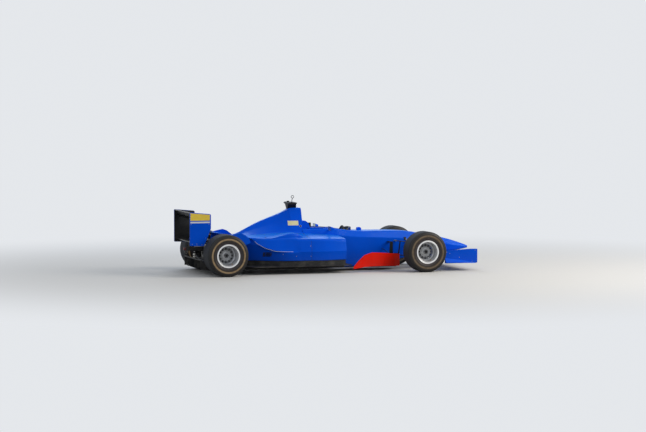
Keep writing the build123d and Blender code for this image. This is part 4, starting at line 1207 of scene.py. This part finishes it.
class CAR_OT_suspension_trim(bpy.types.Operator):
    """Adds the brackets, rod ends and locking nuts of the suspension arms"""
    bl_idname = "car.suspension_trim"
    bl_label = "Suspension trim"

    def execute(self, context):
        # Each wishbone leg's outer and inner end, then the front and rear pushrods'
        legs = [(at(3.100, 0.636, outer_z), at(x, 0.090, inner_z))
                for outer_z, inner_z, aft in ((0.194, 0.235, 2.800), (0.418, 0.450, 2.740))
                for x in (aft, 3.230)]
        legs += [(at(0, 0.570, outer_z), at(x, 0.060, inner_z))
                 for outer_z, inner_z in ((0.218, 0.190), (0.402, 0.372)) for x in (-0.120, 0.330)]
        rods = [(at(3.096, 0.560, 0.222), at(2.976, 0.100, 0.505)),
                (at(0.080, 0.540, 0.226), at(0.150, 0.060, 0.470))]
        shells = surfaces("monocoque", "gearbox", "engine_block", "nose_cone")
        fittings, bolts = [], []
        for outer, inner in legs + rods:
            run = (inner - outer).normalized()
            met = strike(shells, outer, run, (inner - outer).length + 0.02)
            end = met[0] if met else inner
            fittings += [(bar, end - run * 0.030, end + run * 0.004, 0.0115, 0.0135, 14),
                         (bar, outer + run * 0.060, outer + run * 0.074, 0.0125, None, 6)]
            if met and (outer, inner) in legs:
                across = met[1].cross(UP).normalized() * 0.022
                bolts += [(bolt, end + across * way, met[1]) for way in (-1, 1)]
        make_piece("arm_end_fittings", "steel", fittings, both=True)
        make_piece("arm_bracket_bolts", "steel", bolts, both=True)
        for side, sign in SIDES:
            make_piece("upright_bolts_front_" + side, "steel", [
                (bolt, at(x, 0.6195 * sign, z), OUT * -sign) for x in (3.084, 3.116) for z in (0.236, 0.376)
            ], "knuckle_" + side)
        return {"FINISHED"}


class CAR_OT_under_trim(bpy.types.Operator):
    """Adds the plank's bolts, the diffuser's edge strips and the bargeboards' stays"""
    bl_idname = "car.under_trim"
    bl_label = "Underside trim"

    def execute(self, context):
        make_piece("plank_bolts", "titanium", [
            (bar, at(x, y, 0.0445), at(x, y, 0.0428), 0.012, None, 24)
            for x in (0.45, 0.95, 1.50, 2.10, 2.70) for y in (0.055, 0.120)
        ], both=True)
        make_piece("diffuser_edges", "seal", [
            (block, at(-0.331, -0.489, 0.2315), at(-0.322, 0.489, 0.2365), 0.001, 1),
            *[(block, at(-0.3312, y, 0.092), at(-0.3262, y + 0.005, 0.2250), 0.001, 1)
              for y in (0.1145, 0.2945, 0.4845, -0.1195, -0.2995, -0.4895)],
        ])
        stays = []
        for start, end in ((at(2.450, 0.560, 0.210), at(2.420, 0.212, 0.250)),
                           (at(2.640, 0.500, 0.250), at(2.600, 0.206, 0.330)),
                           (at(2.300, 0.590, 0.100), at(2.300, 0.230, 0.110))):
            stays += [(bar, start, end, 0.0045), (bar, start, start.lerp(end, 0.04), 0.0085, 0.0065, 12)]
        make_piece("bargeboard_stays", "carbon", stays, both=True)
        return {"FINISHED"}


def seen_directly(owner):
    """One for the rays of the camera, of reflections and through glass, and nothing for the light's own."""
    seen = add(owner, "LightPath", out="Is Camera Ray")
    rays = seen.node.outputs
    for kind in ("Is Glossy Ray", "Is Transmission Ray"):
        seen = add(owner, "Math", {0: seen, 1: rays[kind]}, operation="MAXIMUM")
    return seen


def place_object(name, data, spot=(0, 0, 0), look=None):
    """Adds an object to the scene, facing along a look."""
    item = bpy.data.objects.new(name, data)
    item.location = spot
    if look:
        item.rotation_euler = look.to_track_quat("-Z", "Y").to_euler()
    bpy.context.scene.collection.objects.link(item)
    return item


def studio_floor_paint(colour):
    """Painted studio floor: an even pale matt with a faint roller texture, which runs into the backdrop."""
    paint, where = begin_finish("studio_floor_paint", colour, 0.8, Specular_IOR_Level=0.1)
    seen = seen_directly(paint)
    shown = add(paint, "Mix", {0: seen, 6: linear("8a8a88"), 7: colour}, **BLEND)
    roller = add(paint, "TexNoise", {"Vector": where, "Scale": 14.0, "Detail": 3.0})
    end_finish(paint, shown, None, roller, 0.001, 0.1)
    reach = add(paint, "VectorMath", {0: where}, "Value", operation="LENGTH")
    far = add(paint, "MapRange", {"Value": reach, "From Min": 2.8, "From Max": 9.0},
              interpolation_type="SMOOTHSTEP")
    far = add(paint, "Math", {0: far, 1: seen}, operation="MULTIPLY")
    glow = add(paint, "Emission", {"Color": linear(BACKDROP), "Strength": BACKDROP_STRENGTH})
    nodes = paint.node_tree.nodes
    whole = add(paint, "MixShader", {0: far, 1: nodes["Principled BSDF"].outputs[0], 2: glow})
    paint.node_tree.links.new(whole, nodes["Material Output"].inputs["Surface"])
    return paint


class CAR_OT_stage(bpy.types.Operator):
    """Sets the camera, the pale floor and the soft lights"""
    bl_idname = "car.stage"
    bl_label = "Set the stage"

    def execute(self, context):
        scene = context.scene
        stage = scene.car_stage
        level = math.cos(CAMERA_RISE)
        look = Vector((math.sin(CAMERA_YAW) * level, math.cos(CAMERA_YAW) * level, -math.sin(CAMERA_RISE)))
        lens = bpy.data.cameras.new("camera")
        lens.lens = CAMERA_LENS
        lens.shift_x, lens.shift_y = CAMERA_SHIFT
        lens.clip_end = 400.0
        scene.camera = place_object("camera", lens, CAMERA_TARGET - look * CAMERA_DISTANCE, look)

        shape = bmesh.new()
        bmesh.ops.create_grid(shape, x_segments=1, y_segments=1, size=FLOOR_REACH)
        mesh = bpy.data.meshes.new("studio_floor")
        shape.to_mesh(mesh)
        shape.free()
        mesh.materials.append(studio_floor_paint(stage.floor))
        place_object("studio_floor", mesh)

        world = bpy.data.worlds.new("studio")
        scene.world = world
        world.use_nodes = True
        strength = add(world, "MapRange", {
            "Value": seen_directly(world), "To Min": stage.sky, "To Max": BACKDROP_STRENGTH})
        background = world.node_tree.nodes["Background"]
        background.inputs["Color"].default_value = linear(BACKDROP)
        world.node_tree.links.new(strength, background.inputs["Strength"])
        for name, spot, size, share, tint in (
                ("key_lamp", (8.5, -5.5, 6.5), 7.0, 1.0, "fff6ea"),
                ("fill_lamp", (-7.0, -7.0, 5.0), 6.0, 0.07, "e8f0ff"),
                ("back_lamp", (1.0, 9.0, 6.0), 6.0, 0.27, "d2e4ff")):
            lamp = bpy.data.lights.new(name, "AREA")
            lamp.size = size
            lamp.energy = stage.key_power * share
            lamp.color = linear(tint)[:3]
            place_object(name, lamp, spot, Vector((0, 0, 0.3)) - Vector(spot))
        scene.view_settings.view_transform = "Standard"
        return {"FINISHED"}


OPERATORS = (
    CAR_OT_finish_solids, CAR_OT_wheel_fittings, CAR_OT_brakes, CAR_OT_rear_wing_trim,
    CAR_OT_front_wing_trim, CAR_OT_body_trim, CAR_OT_engine_bay, CAR_OT_cockpit, CAR_OT_suspension_trim,
    CAR_OT_under_trim, CAR_OT_stage,
)


class CAR_PT_panel(bpy.types.Panel):
    """The racing car's settings and buttons"""
    bl_idname = "CAR_PT_panel"
    bl_label = "Racing Car"
    bl_space_type = "VIEW_3D"
    bl_region_type = "UI"
    bl_category = "Racing Car"

    def draw(self, context):
        scene = context.scene
        for group in (scene.car_colours, scene.car_sizes, scene.car_stage):
            for name in group.__annotations__:
                self.layout.prop(group, name)
        for operator in OPERATORS:
            self.layout.operator(operator.bl_idname)


CLASSES = (CarColours, CarSizes, CarStage) + OPERATORS + (CAR_PT_panel,)


def register():
    for item in CLASSES:
        bpy.utils.register_class(item)
    bpy.types.Scene.car_colours = bpy.props.PointerProperty(type=CarColours)
    bpy.types.Scene.car_sizes = bpy.props.PointerProperty(type=CarSizes)
    bpy.types.Scene.car_stage = bpy.props.PointerProperty(type=CarStage)


def unregister():
    del bpy.types.Scene.car_stage
    del bpy.types.Scene.car_sizes
    del bpy.types.Scene.car_colours
    for item in reversed(CLASSES):
        bpy.utils.unregister_class(item)


def main():
    register()
    bpy.ops.car.finish_solids()
    bpy.ops.car.wheel_fittings()
    bpy.ops.car.brakes()
    bpy.ops.car.rear_wing_trim()
    bpy.ops.car.front_wing_trim()
    bpy.ops.car.body_trim()
    bpy.ops.car.engine_bay()
    bpy.ops.car.cockpit()
    bpy.ops.car.suspension_trim()
    bpy.ops.car.under_trim()
    bpy.ops.car.stage()


if __name__ == "__main__":
    main()
